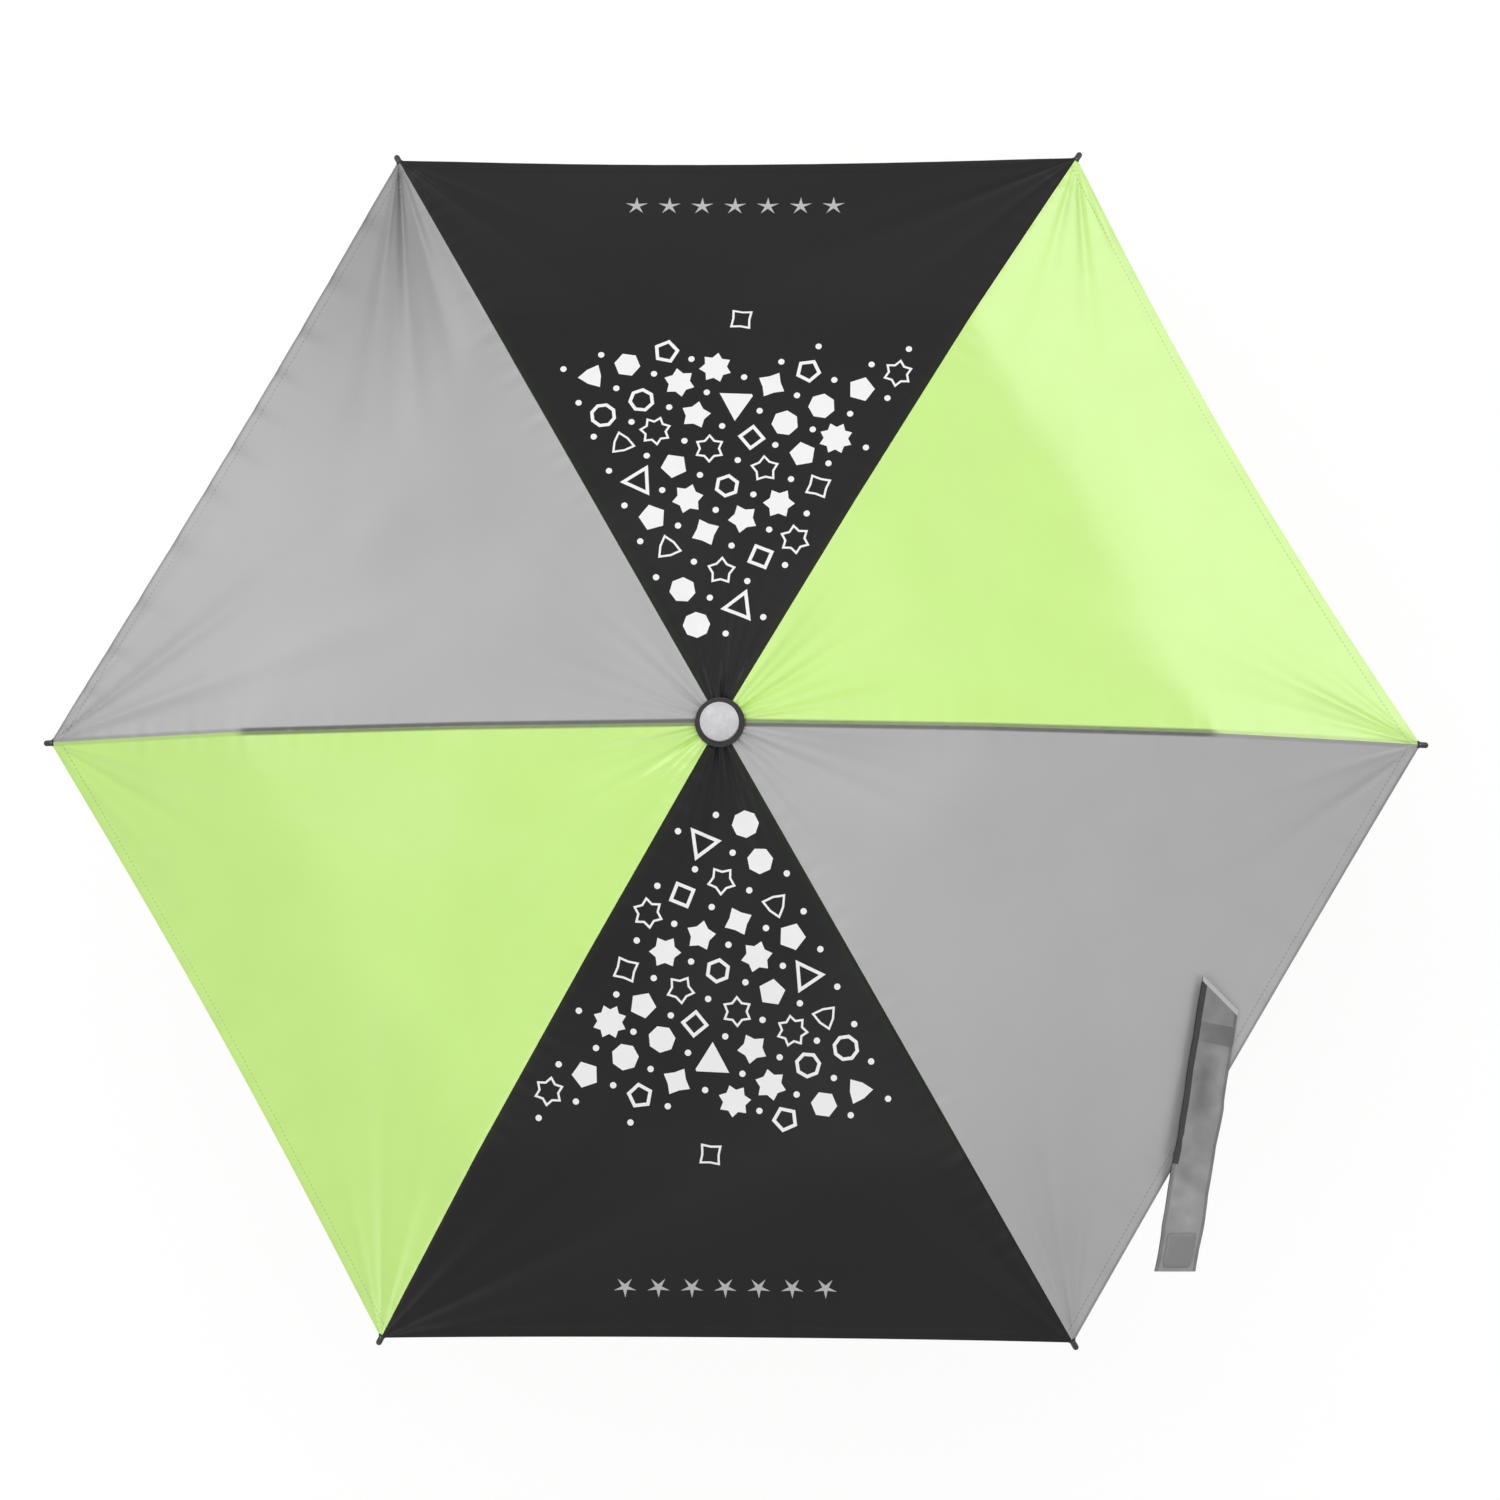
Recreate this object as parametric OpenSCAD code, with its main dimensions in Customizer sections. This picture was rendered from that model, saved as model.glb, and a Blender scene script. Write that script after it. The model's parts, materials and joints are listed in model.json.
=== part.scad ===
// Children's folding umbrella: six panels on three-section ribs and a telescopic shaft.
// Millimetres. +Z runs up the shaft, the origin is the middle of the handle's grip band,
// and the first rib points along +X.

/* [Handle] */
// Diameter of the grip
grip_d = 28; // [26:0.5:34]
// Length of the grip
grip_len = 55; // [50:1:70]
// Rounding of the grip's two ends
grip_round = 5; // [3:0.5:6]
// Radius of the finger grooves turned round the grip
groove_r = 0.6; // [0.4:0.1:0.9]
// Distance of the inner finger grooves from the middle of the grip
groove_at = 13; // [10:0.5:14]
// Distance between two finger grooves
groove_step = 3.5; // [2.5:0.1:4]
// Thickness of the end cap's disc
cap_disc = 3; // [2:0.25:5]
// Depth of the end cap's plug inside the grip
cap_plug = 6; // [4:0.5:9]
// Radius of the hole for a wrist cord
cord_hole_r = 2.2; // [1.6:0.1:2.6]
// Wall around the hole for a wrist cord
cord_wall = 2.2; // [1.6:0.1:3]
// Thickness of the wrist cord's lug
cord_lug_t = 5; // [3:0.5:8]

/* [Shaft] */
// Outer diameter of the upper tube
upper_d = 10; // [9.6:0.1:10.6]
// Wall of the three tubes
tube_wall = 0.5; // [0.4:0.05:0.6]
// Wall of the guide bush on an inner tube's top end
bush_wall = 0.5; // [0.4:0.05:0.6]
// Length of a guide bush
bush_len = 9; // [6:0.5:14]
// Length of the neck rolled into a tube's lower end
neck_len = 2.5; // [1.5:0.25:4]
// How far each tube slides into the next
tube_travel = 135; // [110:1:145]
// Length that stays inside the next tube when the shaft is pulled out
tube_overlap = 25; // [18:1:35]
// Depth of the lower tube in the grip
tube_seat = 34; // [20:1:40]
// Bare tube left below the runner when the ribs are folded
tube_tail = 9; // [4:0.5:15]

/* [Ribs] */
// Length of a top rib from the notch to the knee
top_len = 158; // [150:1:170]
// Length of a middle rib from the knee to the tail joint
middle_len = 146; // [135:1:148]
// Length of an outer rib from the tail joint to its end
outer_len = 143; // [125:1:145]
// Slope of the open top rib, in degrees
top_slope = 7; // [4:0.5:10]
// Slope of the open middle rib, in degrees
middle_slope = 13; // [11:0.5:18]
// Slope of the open outer rib, in degrees
outer_slope = 24; // [20:0.5:28]
// Distance of the stretcher's rivet from the notch
stretcher_at = 72; // [64:1:80]
// Slope of the open stretcher, in degrees
stretcher_slope = 35; // [30:0.5:40]
// Width and height of a rib channel
rib_w = 3; // [2.6:0.1:3.2]
// Wall of a rib channel
rib_wall = 0.5; // [0.4:0.05:0.6]
// Diameter of an outer rib's wire
outer_wire_d = 2; // [1.6:0.1:2]
// Distance of the knee and tail rivets from a rib's centreline
pivot_lift = 1.75; // [1.7:0.05:2]
// Diameter of a rivet
rivet_d = 1.2; // [1:0.1:1.4]
// Radius of the eye round a rivet
eye_r = 1.4; // [1.2:0.05:1.5]
// Distance of the link's stud from the stretcher's rivet
link_arm = 9; // [8:0.25:10]
// Length of the middle rib's crank
knee_crank = 11; // [10:0.25:12.5]
// Length of the outer rib's crank
tail_crank = 7; // [6.25:0.25:8]
// Distance of the pull wire's stud from the knee
wire_stud_back = 4.5; // [4:0.25:5]
// Thickness of the connecting link
link_t = 0.8; // [0.6:0.05:1]
// Diameter of the pull wire
pull_wire_d = 0.9; // [0.8:0.05:1.1]
// Length of a rib tip beyond the outer rib's end
tip_nose = 3; // [2:0.25:5]
// Depth of the outer rib in its tip
tip_socket = 7; // [5:0.5:10]
// Diameter of a rib tip
tip_d = 3.8; // [3.4:0.1:4.2]

/* [Notch and runner] */
// Radius of the ring of wire in the notch and the runner
ring_r = 8; // [7.8:0.1:8.6]
// Diameter of the ring wire
ring_wire_d = 1; // [0.8:0.05:1.1]
// Outer radius of the notch and the runner's crown
crown_r = 9.8; // [9.4:0.1:10]
// Half the height of the notch
notch_half = 3; // [2.4:0.1:3.2]
// Height of the runner's crown above its ring wire
crown_up = 4.5; // [3.5:0.25:6]
// Depth of the runner's crown below its ring wire
crown_down = 3.5; // [2.5:0.25:4.5]
// Outer radius of the runner's sleeve
sleeve_r = 7.2; // [6.6:0.1:7.6]
// Length of the runner below its ring wire
runner_below = 26; // [24:0.5:32]
// Outer radius of the runner's thumb flange
flange_r = 9; // [8.2:0.1:9.2]
// Thickness of the runner's thumb flange
flange_t = 2.5; // [1.5:0.25:4]
// Radius of the runner's button
button_r = 2.3; // [1.8:0.1:2.6]
// Travel of the runner's button
button_travel = 2; // [1.5:0.1:2.2]
// Depth of the button's axis below the ring wire
button_down = 14; // [11:0.5:18]

/* [Canopy] */
// Thickness of the canopy cloth
cloth_t = 0.5; // [0.4:0.05:0.8]
// Height of the cloth above the ribs' centreline
cloth_lift = 3.9; // [3.8:0.05:5]
// Dip of the cloth between two ribs at the hem
cloth_dip = 8; // [4:0.5:14]
// How far the hem curves in between two tips
hem_curve = 6; // [4:0.5:14]
// Distance of the cloth's corner from the end of the outer rib
hem_back = 2; // [1:0.25:5]
// Width of the closure strap
strap_w = 26.5; // [18:0.5:32]
// Length of the closure strap
strap_len = 194; // [150:1:210]
// Distance of the strap's sewn end inside the straight line between its panel's two tips
strap_inset = 34; // [20:0.5:45]
// Distance of the strap's sewn end from the middle of its panel
strap_aside = 25.5; // [10:0.5:40]
// Heading of the hanging strap, in degrees
strap_heading = 260.5; // [250:0.5:275]
// Radius of the rosette under the ferrule cap
rosette_r = 15.5; // [14:0.25:18]
// Thickness of the rosette
rosette_t = 0.8; // [0.6:0.1:1.5]
// Radius of the ferrule cap
ferrule_r = 12; // [10.5:0.25:13.5]
// Height of the ferrule cap's straight side
ferrule_side = 3.5; // [2:0.25:6]
// Rise of the ferrule cap's dome
ferrule_dome = 5; // [3:0.25:7]
// Depth of the upper tube in the ferrule cap
ferrule_socket = 5; // [3:0.25:6]

/* [Fits] */
// Radial clearance of a rivet or a pin in its hole
pin_gap = 0.05; // [0.03:0.01:0.08]
// Radial clearance of a ring wire in a rib's eye
ring_gap = 0.12; // [0.1:0.01:0.15]
// Radial clearance of the sliding tubes, bushes and runner
slide_gap = 0.1; // [0.06:0.01:0.12]
// Radial clearance of pieces that are fixed together
seat_gap = 0.05; // [0.02:0.01:0.08]
// Sideways clearance between the flat sides of two bars
side_gap = 0.2; // [0.15:0.05:0.25]
// Clearance between the faces of a rivet's head and its bar
head_gap = 0.08; // [0.05:0.01:0.1]
// Clearance of the cloth from its neighbours
cloth_gap = 0.3; // [0.2:0.05:0.5]

/* [Hidden] */
$fn = 32;
RIBS = 6;
STEP = 360 / RIBS;
HALF = STEP / 2;

// Folded directions of the rib sections, in degrees
top_folded = -88.2;
middle_folded = 89.5;
outer_folded = -89;

// How far a cut reaches past the face that it opens, and a solid into the one that it joins
cut = 1;
lap = 1;

// Directions in a rib's upright plane
function along(a) = [cos(a), 0, sin(a)];
function above(a) = [-sin(a), 0, cos(a)];
function turned(v, a) = [v.x * cos(a) - v.z * sin(a), 0, v.x * sin(a) + v.z * cos(a)];
function heading(v) = atan2(v.z, v.x);

// Tube radii, from the upper tube inwards
upper_r = upper_d / 2;
middle_r = upper_r - tube_wall - slide_gap - bush_wall - seat_gap;
lower_r = middle_r - tube_wall - slide_gap - bush_wall - seat_gap;

// Heights along the pulled-out shaft
grip_top = grip_len / 2;
tube_rest = 0.5;
middle_bottom = grip_top + tube_rest + tube_travel;
upper_bottom = middle_bottom + tube_travel;
lower_top = middle_bottom + tube_overlap;
middle_top = upper_bottom + tube_overlap;

// Rib directions with the canopy open
a_top = -top_slope;
a_middle = -middle_slope;
a_outer = -outer_slope;
a_stretcher = stretcher_slope;

// Rib pivots for any directions, measured from the notch's ring
wire_stud_up = 1;
function rivet_at(a) = [ring_r, 0, 0] + stretcher_at * along(a);
function knee_at(a) = [ring_r, 0, 0] + top_len * along(a) + pivot_lift * above(a);
function tail_at(a, b) = knee_at(a) + middle_len * along(b) - 2 * pivot_lift * above(b);
function stud_at(a, s) = rivet_at(a) - link_arm * along(s);
function wire_stud_at(a) =
    [ring_r, 0, 0] + (top_len - wire_stud_back) * along(a) + wire_stud_up * above(a);

// The stretcher reaches from its rivet to the runner's ring in both positions
stretcher_len = (rivet_at(a_top).x - ring_r) / cos(a_stretcher);
stretcher_folded = acos((rivet_at(top_folded).x - ring_r) / stretcher_len);
foot_drop = stretcher_len * sin(a_stretcher) - rivet_at(a_top).z;
foot_drop_folded = stretcher_len * sin(stretcher_folded) - rivet_at(top_folded).z;

// A crank of length c about a pivot that turns by t keeps its rod's length in both positions:
// w and w_folded lead from the rod's other end to the pivot
function crank_heading(w, w_folded, t, c) =
    let(g = w - turned(w_folded, -t), reach = (w_folded * w_folded - w * w) / (2 * c))
    heading(g) - acos(reach / norm(g));
knee_turn = middle_folded - a_middle;
tail_turn = outer_folded - a_outer;
knee_crank_a = crank_heading(
    knee_at(a_top) - stud_at(a_top, a_stretcher),
    knee_at(top_folded) - stud_at(top_folded, stretcher_folded), knee_turn, knee_crank);
tail_crank_a = crank_heading(
    tail_at(a_top, a_middle) - wire_stud_at(a_top),
    tail_at(top_folded, middle_folded) - wire_stud_at(top_folded), tail_turn, tail_crank);

// Rods from stud to crank pin
link_rod = knee_at(a_top) + knee_crank * along(knee_crank_a) - stud_at(a_top, a_stretcher);
pull_rod = tail_at(a_top, a_middle) + tail_crank * along(tail_crank_a) - wire_stud_at(a_top);

// Heights of the notch and of the open runner's ring
notch_z = upper_bottom + tube_tail + runner_below + foot_drop_folded;
foot_z = notch_z - foot_drop;
function lifted(p) = p + [0, 0, notch_z];

// Layers of the bars on either side of a rib's plane
rib_half = rib_w / 2;
ear_in = rib_half - rib_wall;
tongue_half = ear_in - side_gap;
rivet_r = rivet_d / 2;
head_t = 0.25;
head_over = 0.4;
head_r = rivet_r + head_over;
rod_eye_less = 0.2;
rod_eye_r = eye_r - rod_eye_less;
head_in = rib_half + head_gap;
stretcher_in = head_in + head_t;
stretcher_wall = 0.6;
stretcher_out = stretcher_in + stretcher_wall;
link_in = stretcher_out + side_gap;
link_out = link_in + link_t;
pull_in = head_in + head_t + side_gap;
pull_out = pull_in + pull_wire_d;
pin_short = 0.3;

// Lengths of the bars' flattened and channelled stretches
ring_wire_r = ring_wire_d / 2;
eye_past = 4;
eye_len = crown_r - ring_r + eye_past;
foot_half = 0.7;
foot_past = 8;
foot_len = crown_up + foot_past;
tongue_len = 11;
tongue_step = 1;
ear_len = 6;
channel_back = 3.2;
web_back = 8;
bracket_len = 16;
bracket_crimp = 6;
slot_w = 2 * (foot_half + 2 * side_gap);
slot_back = 0.3;
slot_floor = ring_r - eye_r - slot_back;

// Places each rib's pieces round the shaft, then at a pivot along a direction
module at_rib(k) rotate([0, 0, STEP * (k - 1)]) children();
module at_pivot(p, a) translate(lifted(p)) rotate([0, -a, 0]) children();

// A pin across the ribs' plane from one side to another
module cross_pin(x, z, r, y0, y1)
    translate([x, y0, z]) rotate([-90, 0, 0]) cylinder(r = r, h = y1 - y0);

// A flat plate across the ribs' plane with an outline in that plane
module plate(outline, y0, y1)
    translate([0, y1, 0]) rotate([90, 0, 0]) linear_extrude(y1 - y0) polygon(outline);

// A rivet with a head beyond each of its two ears
module rivet(x, z, ear_out) {
    cross_pin(x, z, rivet_r, -ear_out - head_gap - head_t, ear_out + head_gap + head_t);
    cross_pin(x, z, head_r, -ear_out - head_gap - head_t, -ear_out - head_gap);
    cross_pin(x, z, head_r, ear_out + head_gap, ear_out + head_gap + head_t);
}

// A rib channel along x about the height z, open below
module channel(x0, x1, z)
    translate([x0, 0, z - rib_half]) difference() {
        translate([0, -rib_half, 0]) cube([x1 - x0, rib_w, rib_w]);
        translate([-cut, -ear_in, -cut])
            cube([x1 - x0 + 2 * cut, 2 * ear_in, rib_w - rib_wall + cut]);
    }

// The flattened end of a bar, with its rivet above (side 1) or below (side -1) the bar about z
module tongue(x1, z, side) {
    edge = side * rib_half;
    lift = side * pivot_lift;
    plate([
        [x1 - tongue_len, z - edge], [x1 - tongue_len, z + edge],
        [x1 - eye_r - tongue_step, z + edge], [x1 - eye_r, z + lift],
        [x1, z + lift], [x1, z], [x1 - rib_half, z - edge]
    ], -tongue_half, tongue_half);
    cross_pin(x1, z + lift, eye_r, -tongue_half, tongue_half);
    rivet(x1, z + lift, rib_half);
}

// One ear from a rivet at the origin into a channel about the height z
module ear(z, y0, y1) {
    plate([[0, eye_r], [ear_len, z + rib_half], [ear_len, z - rib_half], [0, -eye_r]], y0, y1);
    cross_pin(0, 0, eye_r, y0, y1);
}

// A crank arm from a rivet at the origin to a pin
module crank(length, a, y0, y1) rotate([0, -a, 0]) {
    translate([0, y0, -rod_eye_r]) cube([length, y1 - y0, 2 * rod_eye_r]);
    cross_pin(length, 0, rod_eye_r, y0, y1);
}

// A turned shape round the shaft
module turned_shape() rotate_extrude($fn = 96) children();
module ring(r0, r1, z0, z1) translate([0, 0, z0]) difference() {
    cylinder(r = r1, h = z1 - z0, $fn = 96);
    translate([0, 0, -cut]) cylinder(r = r0, h = z1 - z0 + 2 * cut, $fn = 96);
}

// Slots for the bars' eyes and an outer groove for the ring wire
module ring_slots(z, z0, z1) {
    groove_half = ring_wire_r + pin_gap;
    ring(ring_r - groove_half, crown_r + cut, z - groove_half, z + groove_half);
    for (k = [1:RIBS]) at_rib(k)
        translate([slot_floor, -slot_w / 2, z0]) cube([crown_r, slot_w, z1 - z0]);
}

// A tube with a neck rolled in at its lower end
module necked_tube(r, z0, z1, neck_r) {
    ring(r - tube_wall, r, z0, z1);
    ring(neck_r, r, z0, z0 + neck_len);
}

cap_seat_r = grip_d / 2 - grip_round;

module handle_grip() color("#1c1c1e") difference() {
    turned_shape() difference() {
        r = grip_d / 2;
        union() {
            translate([0, -grip_top]) square([r - grip_round, grip_len]);
            translate([0, grip_round - grip_top]) square([r, grip_len - 2 * grip_round]);
            for (s = [-1, 1])
                translate([r - grip_round, s * (grip_top - grip_round)]) circle(grip_round);
        }
        for (s = [-1, 1], n = [0, 1])
            translate([r, s * (groove_at + n * groove_step)]) circle(groove_r);
    }
    translate([0, 0, grip_top - tube_seat])
        cylinder(r = lower_r + seat_gap, h = tube_seat + cut, $fn = 96);
    translate([0, 0, -grip_top - cut])
        cylinder(r = cap_seat_r + seat_gap, h = cap_plug + cut, $fn = 64);
}

module handle_end_cap() color("#2a2a2c") {
    lug_r = cord_hole_r + cord_wall;
    hole_z = -grip_top - cap_disc / 2 - lug_r;
    difference() {
        union() {
            translate([0, 0, -grip_top - cap_disc / 2])
                cylinder(r = cap_seat_r, h = cap_plug + cap_disc / 2, $fn = 64);
            cross_pin(0, hole_z, lug_r, -cord_lug_t / 2, cord_lug_t / 2);
            translate([-lug_r, -cord_lug_t / 2, hole_z])
                cube([2 * lug_r, cord_lug_t, -grip_top - hole_z]);
        }
        cross_pin(0, hole_z, cord_hole_r, -cord_lug_t, cord_lug_t);
    }
}

module lower_tube() color("#c9ccd0")
    ring(lower_r - tube_wall, lower_r, grip_top - tube_seat, lower_top);

module middle_tube() color("#c9ccd0")
    necked_tube(middle_r, middle_bottom, middle_top, lower_r + slide_gap);

module upper_tube() color("#c9ccd0")
    necked_tube(upper_r, upper_bottom, ferrule_z + ferrule_socket, middle_r + slide_gap);

module lower_bush() color("#1c1c1e")
    ring(lower_r + seat_gap, lower_r + seat_gap + bush_wall, lower_top - bush_len, lower_top);

module middle_bush() color("#1c1c1e")
    ring(middle_r + seat_gap, middle_r + seat_gap + bush_wall, middle_top - bush_len, middle_top);

module top_notch() color("#1c1c1e") difference() {
    ring(upper_r + seat_gap, crown_r, notch_z - notch_half, notch_z + notch_half);
    ring_slots(notch_z, notch_z - notch_half - cut, notch_z + notch_half + cut);
}

module notch_wire() color("#c9ccd0")
    translate([0, 0, notch_z]) turned_shape() translate([ring_r, 0]) circle(ring_wire_r);

// The button and its boss on the runner
boss_wall = 1.3;
boss_past = 0.7;
boss_r = button_r + boss_wall;
boss_out = crown_r + boss_past;
button_in = upper_r + slide_gap + pin_short + button_travel;

module button_axis(x)
    rotate([0, 0, HALF]) translate([x, 0, foot_z - button_down]) rotate([0, 90, 0]) children();

module runner() color("#1c1c1e") difference() {
    top = foot_z + crown_up;
    bottom = foot_z - runner_below;
    union() {
        translate([0, 0, bottom]) cylinder(r = sleeve_r, h = top - bottom, $fn = 96);
        translate([0, 0, foot_z - crown_down])
            cylinder(r = crown_r, h = crown_up + crown_down, $fn = 96);
        translate([0, 0, bottom]) cylinder(r = flange_r, h = flange_t, $fn = 96);
        button_axis(0) cylinder(r = boss_r, h = boss_out);
    }
    translate([0, 0, bottom - cut])
        cylinder(r = upper_r + slide_gap, h = top - bottom + 2 * cut, $fn = 96);
    ring_slots(foot_z, foot_z - crown_down - cut, top + cut);
    button_axis(0) cylinder(r = button_r + slide_gap, h = boss_out + cut);
}

module runner_button() color("#3a3a3d") {
    rim = 0.5;
    body = boss_out + button_travel - button_in;
    button_axis(button_in) cylinder(r = button_r, h = body);
    button_axis(button_in + body) cylinder(r1 = button_r, r2 = button_r - rim, h = rim);
}

module runner_wire() color("#c9ccd0") {
    arc_short = 1;
    margin = asin(slot_w / 2 / ring_r) + arc_short;
    for (k = [1:RIBS]) at_rib(k) rotate([0, 0, margin]) translate([0, 0, foot_z])
        rotate_extrude(angle = STEP - 2 * margin, $fn = 96)
            translate([ring_r, 0]) circle(ring_wire_r);
}

module top_rib(k) color("#3b3c40") at_rib(k) at_pivot([ring_r, 0, 0], a_top) {
    crimp = 2;
    stud_x = top_len - wire_stud_back;
    stud_end = -pull_out - head_gap - head_t;
    difference() {
        union() {
            channel(eye_len, top_len - tongue_len + lap, 0);
            tongue(top_len, 0, 1);
            translate([0, -foot_half, -rib_half]) cube([eye_len + crimp, 2 * foot_half, rib_w]);
            translate([eye_len, -rib_half, -rib_half]) cube([crimp, rib_w, rib_w]);
            cross_pin(0, 0, rib_half, -foot_half, foot_half);
        }
        cross_pin(0, 0, ring_wire_r + ring_gap, -rib_w, rib_w);
    }
    rivet(stretcher_at, 0, stretcher_out);
    cross_pin(stud_x, wire_stud_up, rivet_r, stud_end, -tongue_half);
    cross_pin(stud_x, wire_stud_up, head_r, stud_end, -pull_out - head_gap);
}

module stretcher(k) color("#3b3c40") at_rib(k) at_pivot(rivet_at(a_top), a_stretcher) {
    web_in = rib_half + side_gap;
    web_out = web_in + stretcher_wall;
    wall_low = -1;
    crimp = 4;
    foot_end = foot_len - stretcher_len;
    difference() {
        union() {
            cross_pin(-stretcher_len, 0, eye_r, -foot_half, foot_half);
            translate([-stretcher_len, -foot_half, -eye_r])
                cube([foot_len + crimp, 2 * foot_half, 2 * eye_r]);
            translate([foot_end, -stretcher_out, wall_low])
                cube([crimp, 2 * stretcher_out, web_out - wall_low]);
            translate([foot_end, -stretcher_out, web_in])
                cube([-web_back - foot_end, 2 * stretcher_out, stretcher_wall]);
            for (side = [-1, 1]) {
                y0 = min(side * stretcher_in, side * stretcher_out);
                translate([foot_end, y0, wall_low])
                    cube([-web_back - foot_end, stretcher_wall, web_out - wall_low]);
                plate([[-web_back, wall_low], [-web_back, web_out], [0, eye_r], [0, -eye_r]],
                    y0, y0 + stretcher_wall);
                cross_pin(0, 0, eye_r, y0, y0 + stretcher_wall);
            }
        }
        cross_pin(0, 0, rivet_r + pin_gap, -stretcher_out - cut, stretcher_out + cut);
        cross_pin(-stretcher_len, 0, ring_wire_r + ring_gap, -rib_w, rib_w);
    }
    cross_pin(-link_arm, 0, rivet_r, stretcher_in, link_out + head_gap + head_t);
    cross_pin(-link_arm, 0, head_r, link_out + head_gap, link_out + head_gap + head_t);
}

// A flat bar or a wire between two eyes
module rod_eyes(length, y0, y1) difference() {
    union() {
        cross_pin(0, 0, rod_eye_r, y0, y1);
        cross_pin(length, 0, rod_eye_r, y0, y1);
        children();
    }
    cross_pin(0, 0, rivet_r + pin_gap, y0 - cut, y1 + cut);
    cross_pin(length, 0, rivet_r + pin_gap, y0 - cut, y1 + cut);
}

module connecting_link(k) color("#8f9297") at_rib(k)
    at_pivot(stud_at(a_top, a_stretcher), heading(link_rod)) {
        bar_h = 1.8;
        rod_eyes(norm(link_rod), link_in, link_out)
            translate([0, link_in, -bar_h / 2]) cube([norm(link_rod), link_t, bar_h]);
    }

module pull_wire(k) color("#c9ccd0") at_rib(k)
    at_pivot(wire_stud_at(a_top), heading(pull_rod))
        rod_eyes(norm(pull_rod), -pull_out, -pull_in)
            translate([0, -(pull_in + pull_out) / 2, 0]) rotate([0, 90, 0])
                cylinder(r = pull_wire_d / 2, h = norm(pull_rod));

module middle_rib(k) color("#3b3c40") at_rib(k) at_pivot(knee_at(a_top), a_middle) {
    difference() {
        union() {
            channel(channel_back, middle_len - tongue_len + lap, -pivot_lift);
            ear(-pivot_lift, ear_in, rib_half);
            ear(-pivot_lift, -rib_half, -ear_in);
            crank(knee_crank, knee_crank_a - a_middle, ear_in, rib_half);
        }
        cross_pin(0, 0, rivet_r + pin_gap, -rib_w, rib_w);
    }
    tongue(middle_len, -pivot_lift, -1);
    rotate([0, a_middle - knee_crank_a, 0])
        cross_pin(knee_crank, 0, rivet_r, ear_in, link_in - pin_short);
}

module outer_rib(k) color("#3b3c40") at_rib(k) at_pivot(tail_at(a_top, a_middle), a_outer) {
    difference() {
        union() {
            channel(channel_back, bracket_len, pivot_lift);
            ear(pivot_lift, ear_in, rib_half);
            ear(pivot_lift, -rib_half, -ear_in);
            crank(tail_crank, tail_crank_a - a_outer, -rib_half, -ear_in);
        }
        cross_pin(0, 0, rivet_r + pin_gap, -rib_w, rib_w);
    }
    rotate([0, a_outer - tail_crank_a, 0])
        cross_pin(tail_crank, 0, rivet_r, pin_short - pull_in, -ear_in);
    translate([bracket_len - bracket_crimp, -rib_half, pivot_lift - rib_half])
        cube([bracket_crimp, rib_w, rib_w]);
    translate([bracket_len - bracket_crimp, 0, pivot_lift]) rotate([0, 90, 0])
        cylinder(r = outer_wire_d / 2, h = outer_len - bracket_len + bracket_crimp);
}

module rib_tip(k) color("#1c1c1e") at_rib(k) at_pivot(tail_at(a_top, a_middle), a_outer)
    translate([0, 0, pivot_lift]) {
        thread_r = 0.5;
        difference() {
            union() {
                translate([outer_len - tip_socket, 0, 0]) rotate([0, 90, 0])
                    cylinder(r = tip_d / 2, h = tip_socket + tip_nose - tip_d / 2);
                translate([outer_len + tip_nose - tip_d / 2, 0, 0]) sphere(r = tip_d / 2);
            }
            translate([outer_len - tip_socket - cut, 0, 0]) rotate([0, 90, 0])
                cylinder(r = outer_wire_d / 2 + seat_gap, h = tip_socket + cut);
            cross_pin(outer_len + tip_nose - tip_d / 2, 0, thread_r, -tip_d, tip_d);
        }
    }

// Height of the cloth's underside above a rib at a distance from the shaft
top_end = [ring_r, 0, 0] + top_len * along(a_top);
middle_end = tail_at(a_top, a_middle) + pivot_lift * above(a_middle);
outer_end = tail_at(a_top, a_middle) + pivot_lift * above(a_outer) + outer_len * along(a_outer);
hem_r = outer_end.x - hem_back;
far_r = 2 * hem_r;
function rib_height(r) = notch_z + cloth_lift + lookup(r, [
    [0, ring_r * tan(top_slope)], [top_end.x, top_end.z], [middle_end.x, middle_end.z],
    [outer_end.x, outer_end.z], [far_r, outer_end.z - (far_r - outer_end.x) * tan(outer_slope)]
]);

// A point of a panel: r is the distance of its two rib points from the shaft and v runs from
// one rib to the next. x lies along the panel's middle.
function bulge(v) = 4 * v * (1 - v);
function panel_point(r, v, up) = [
    r * cos(HALF) - hem_curve * bulge(v) * pow(r / hem_r, 4),
    (v - 0.5) * 2 * r * sin(HALF),
    rib_height(r) - cloth_dip * bulge(v) * r / hem_r + up
];
// Height of a panel's underside under a point given by its x and y
function panel_height(x, y) =
    let(r0 = x / cos(HALF), v = 0.5 + y / (2 * r0 * sin(HALF)), b = max(0, bulge(v)))
    let(r = (x + hem_curve * b * pow(min(r0, hem_r) / hem_r, 4)) / cos(HALF))
    rib_height(r) - cloth_dip * b * min(r, hem_r) / hem_r;

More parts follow.
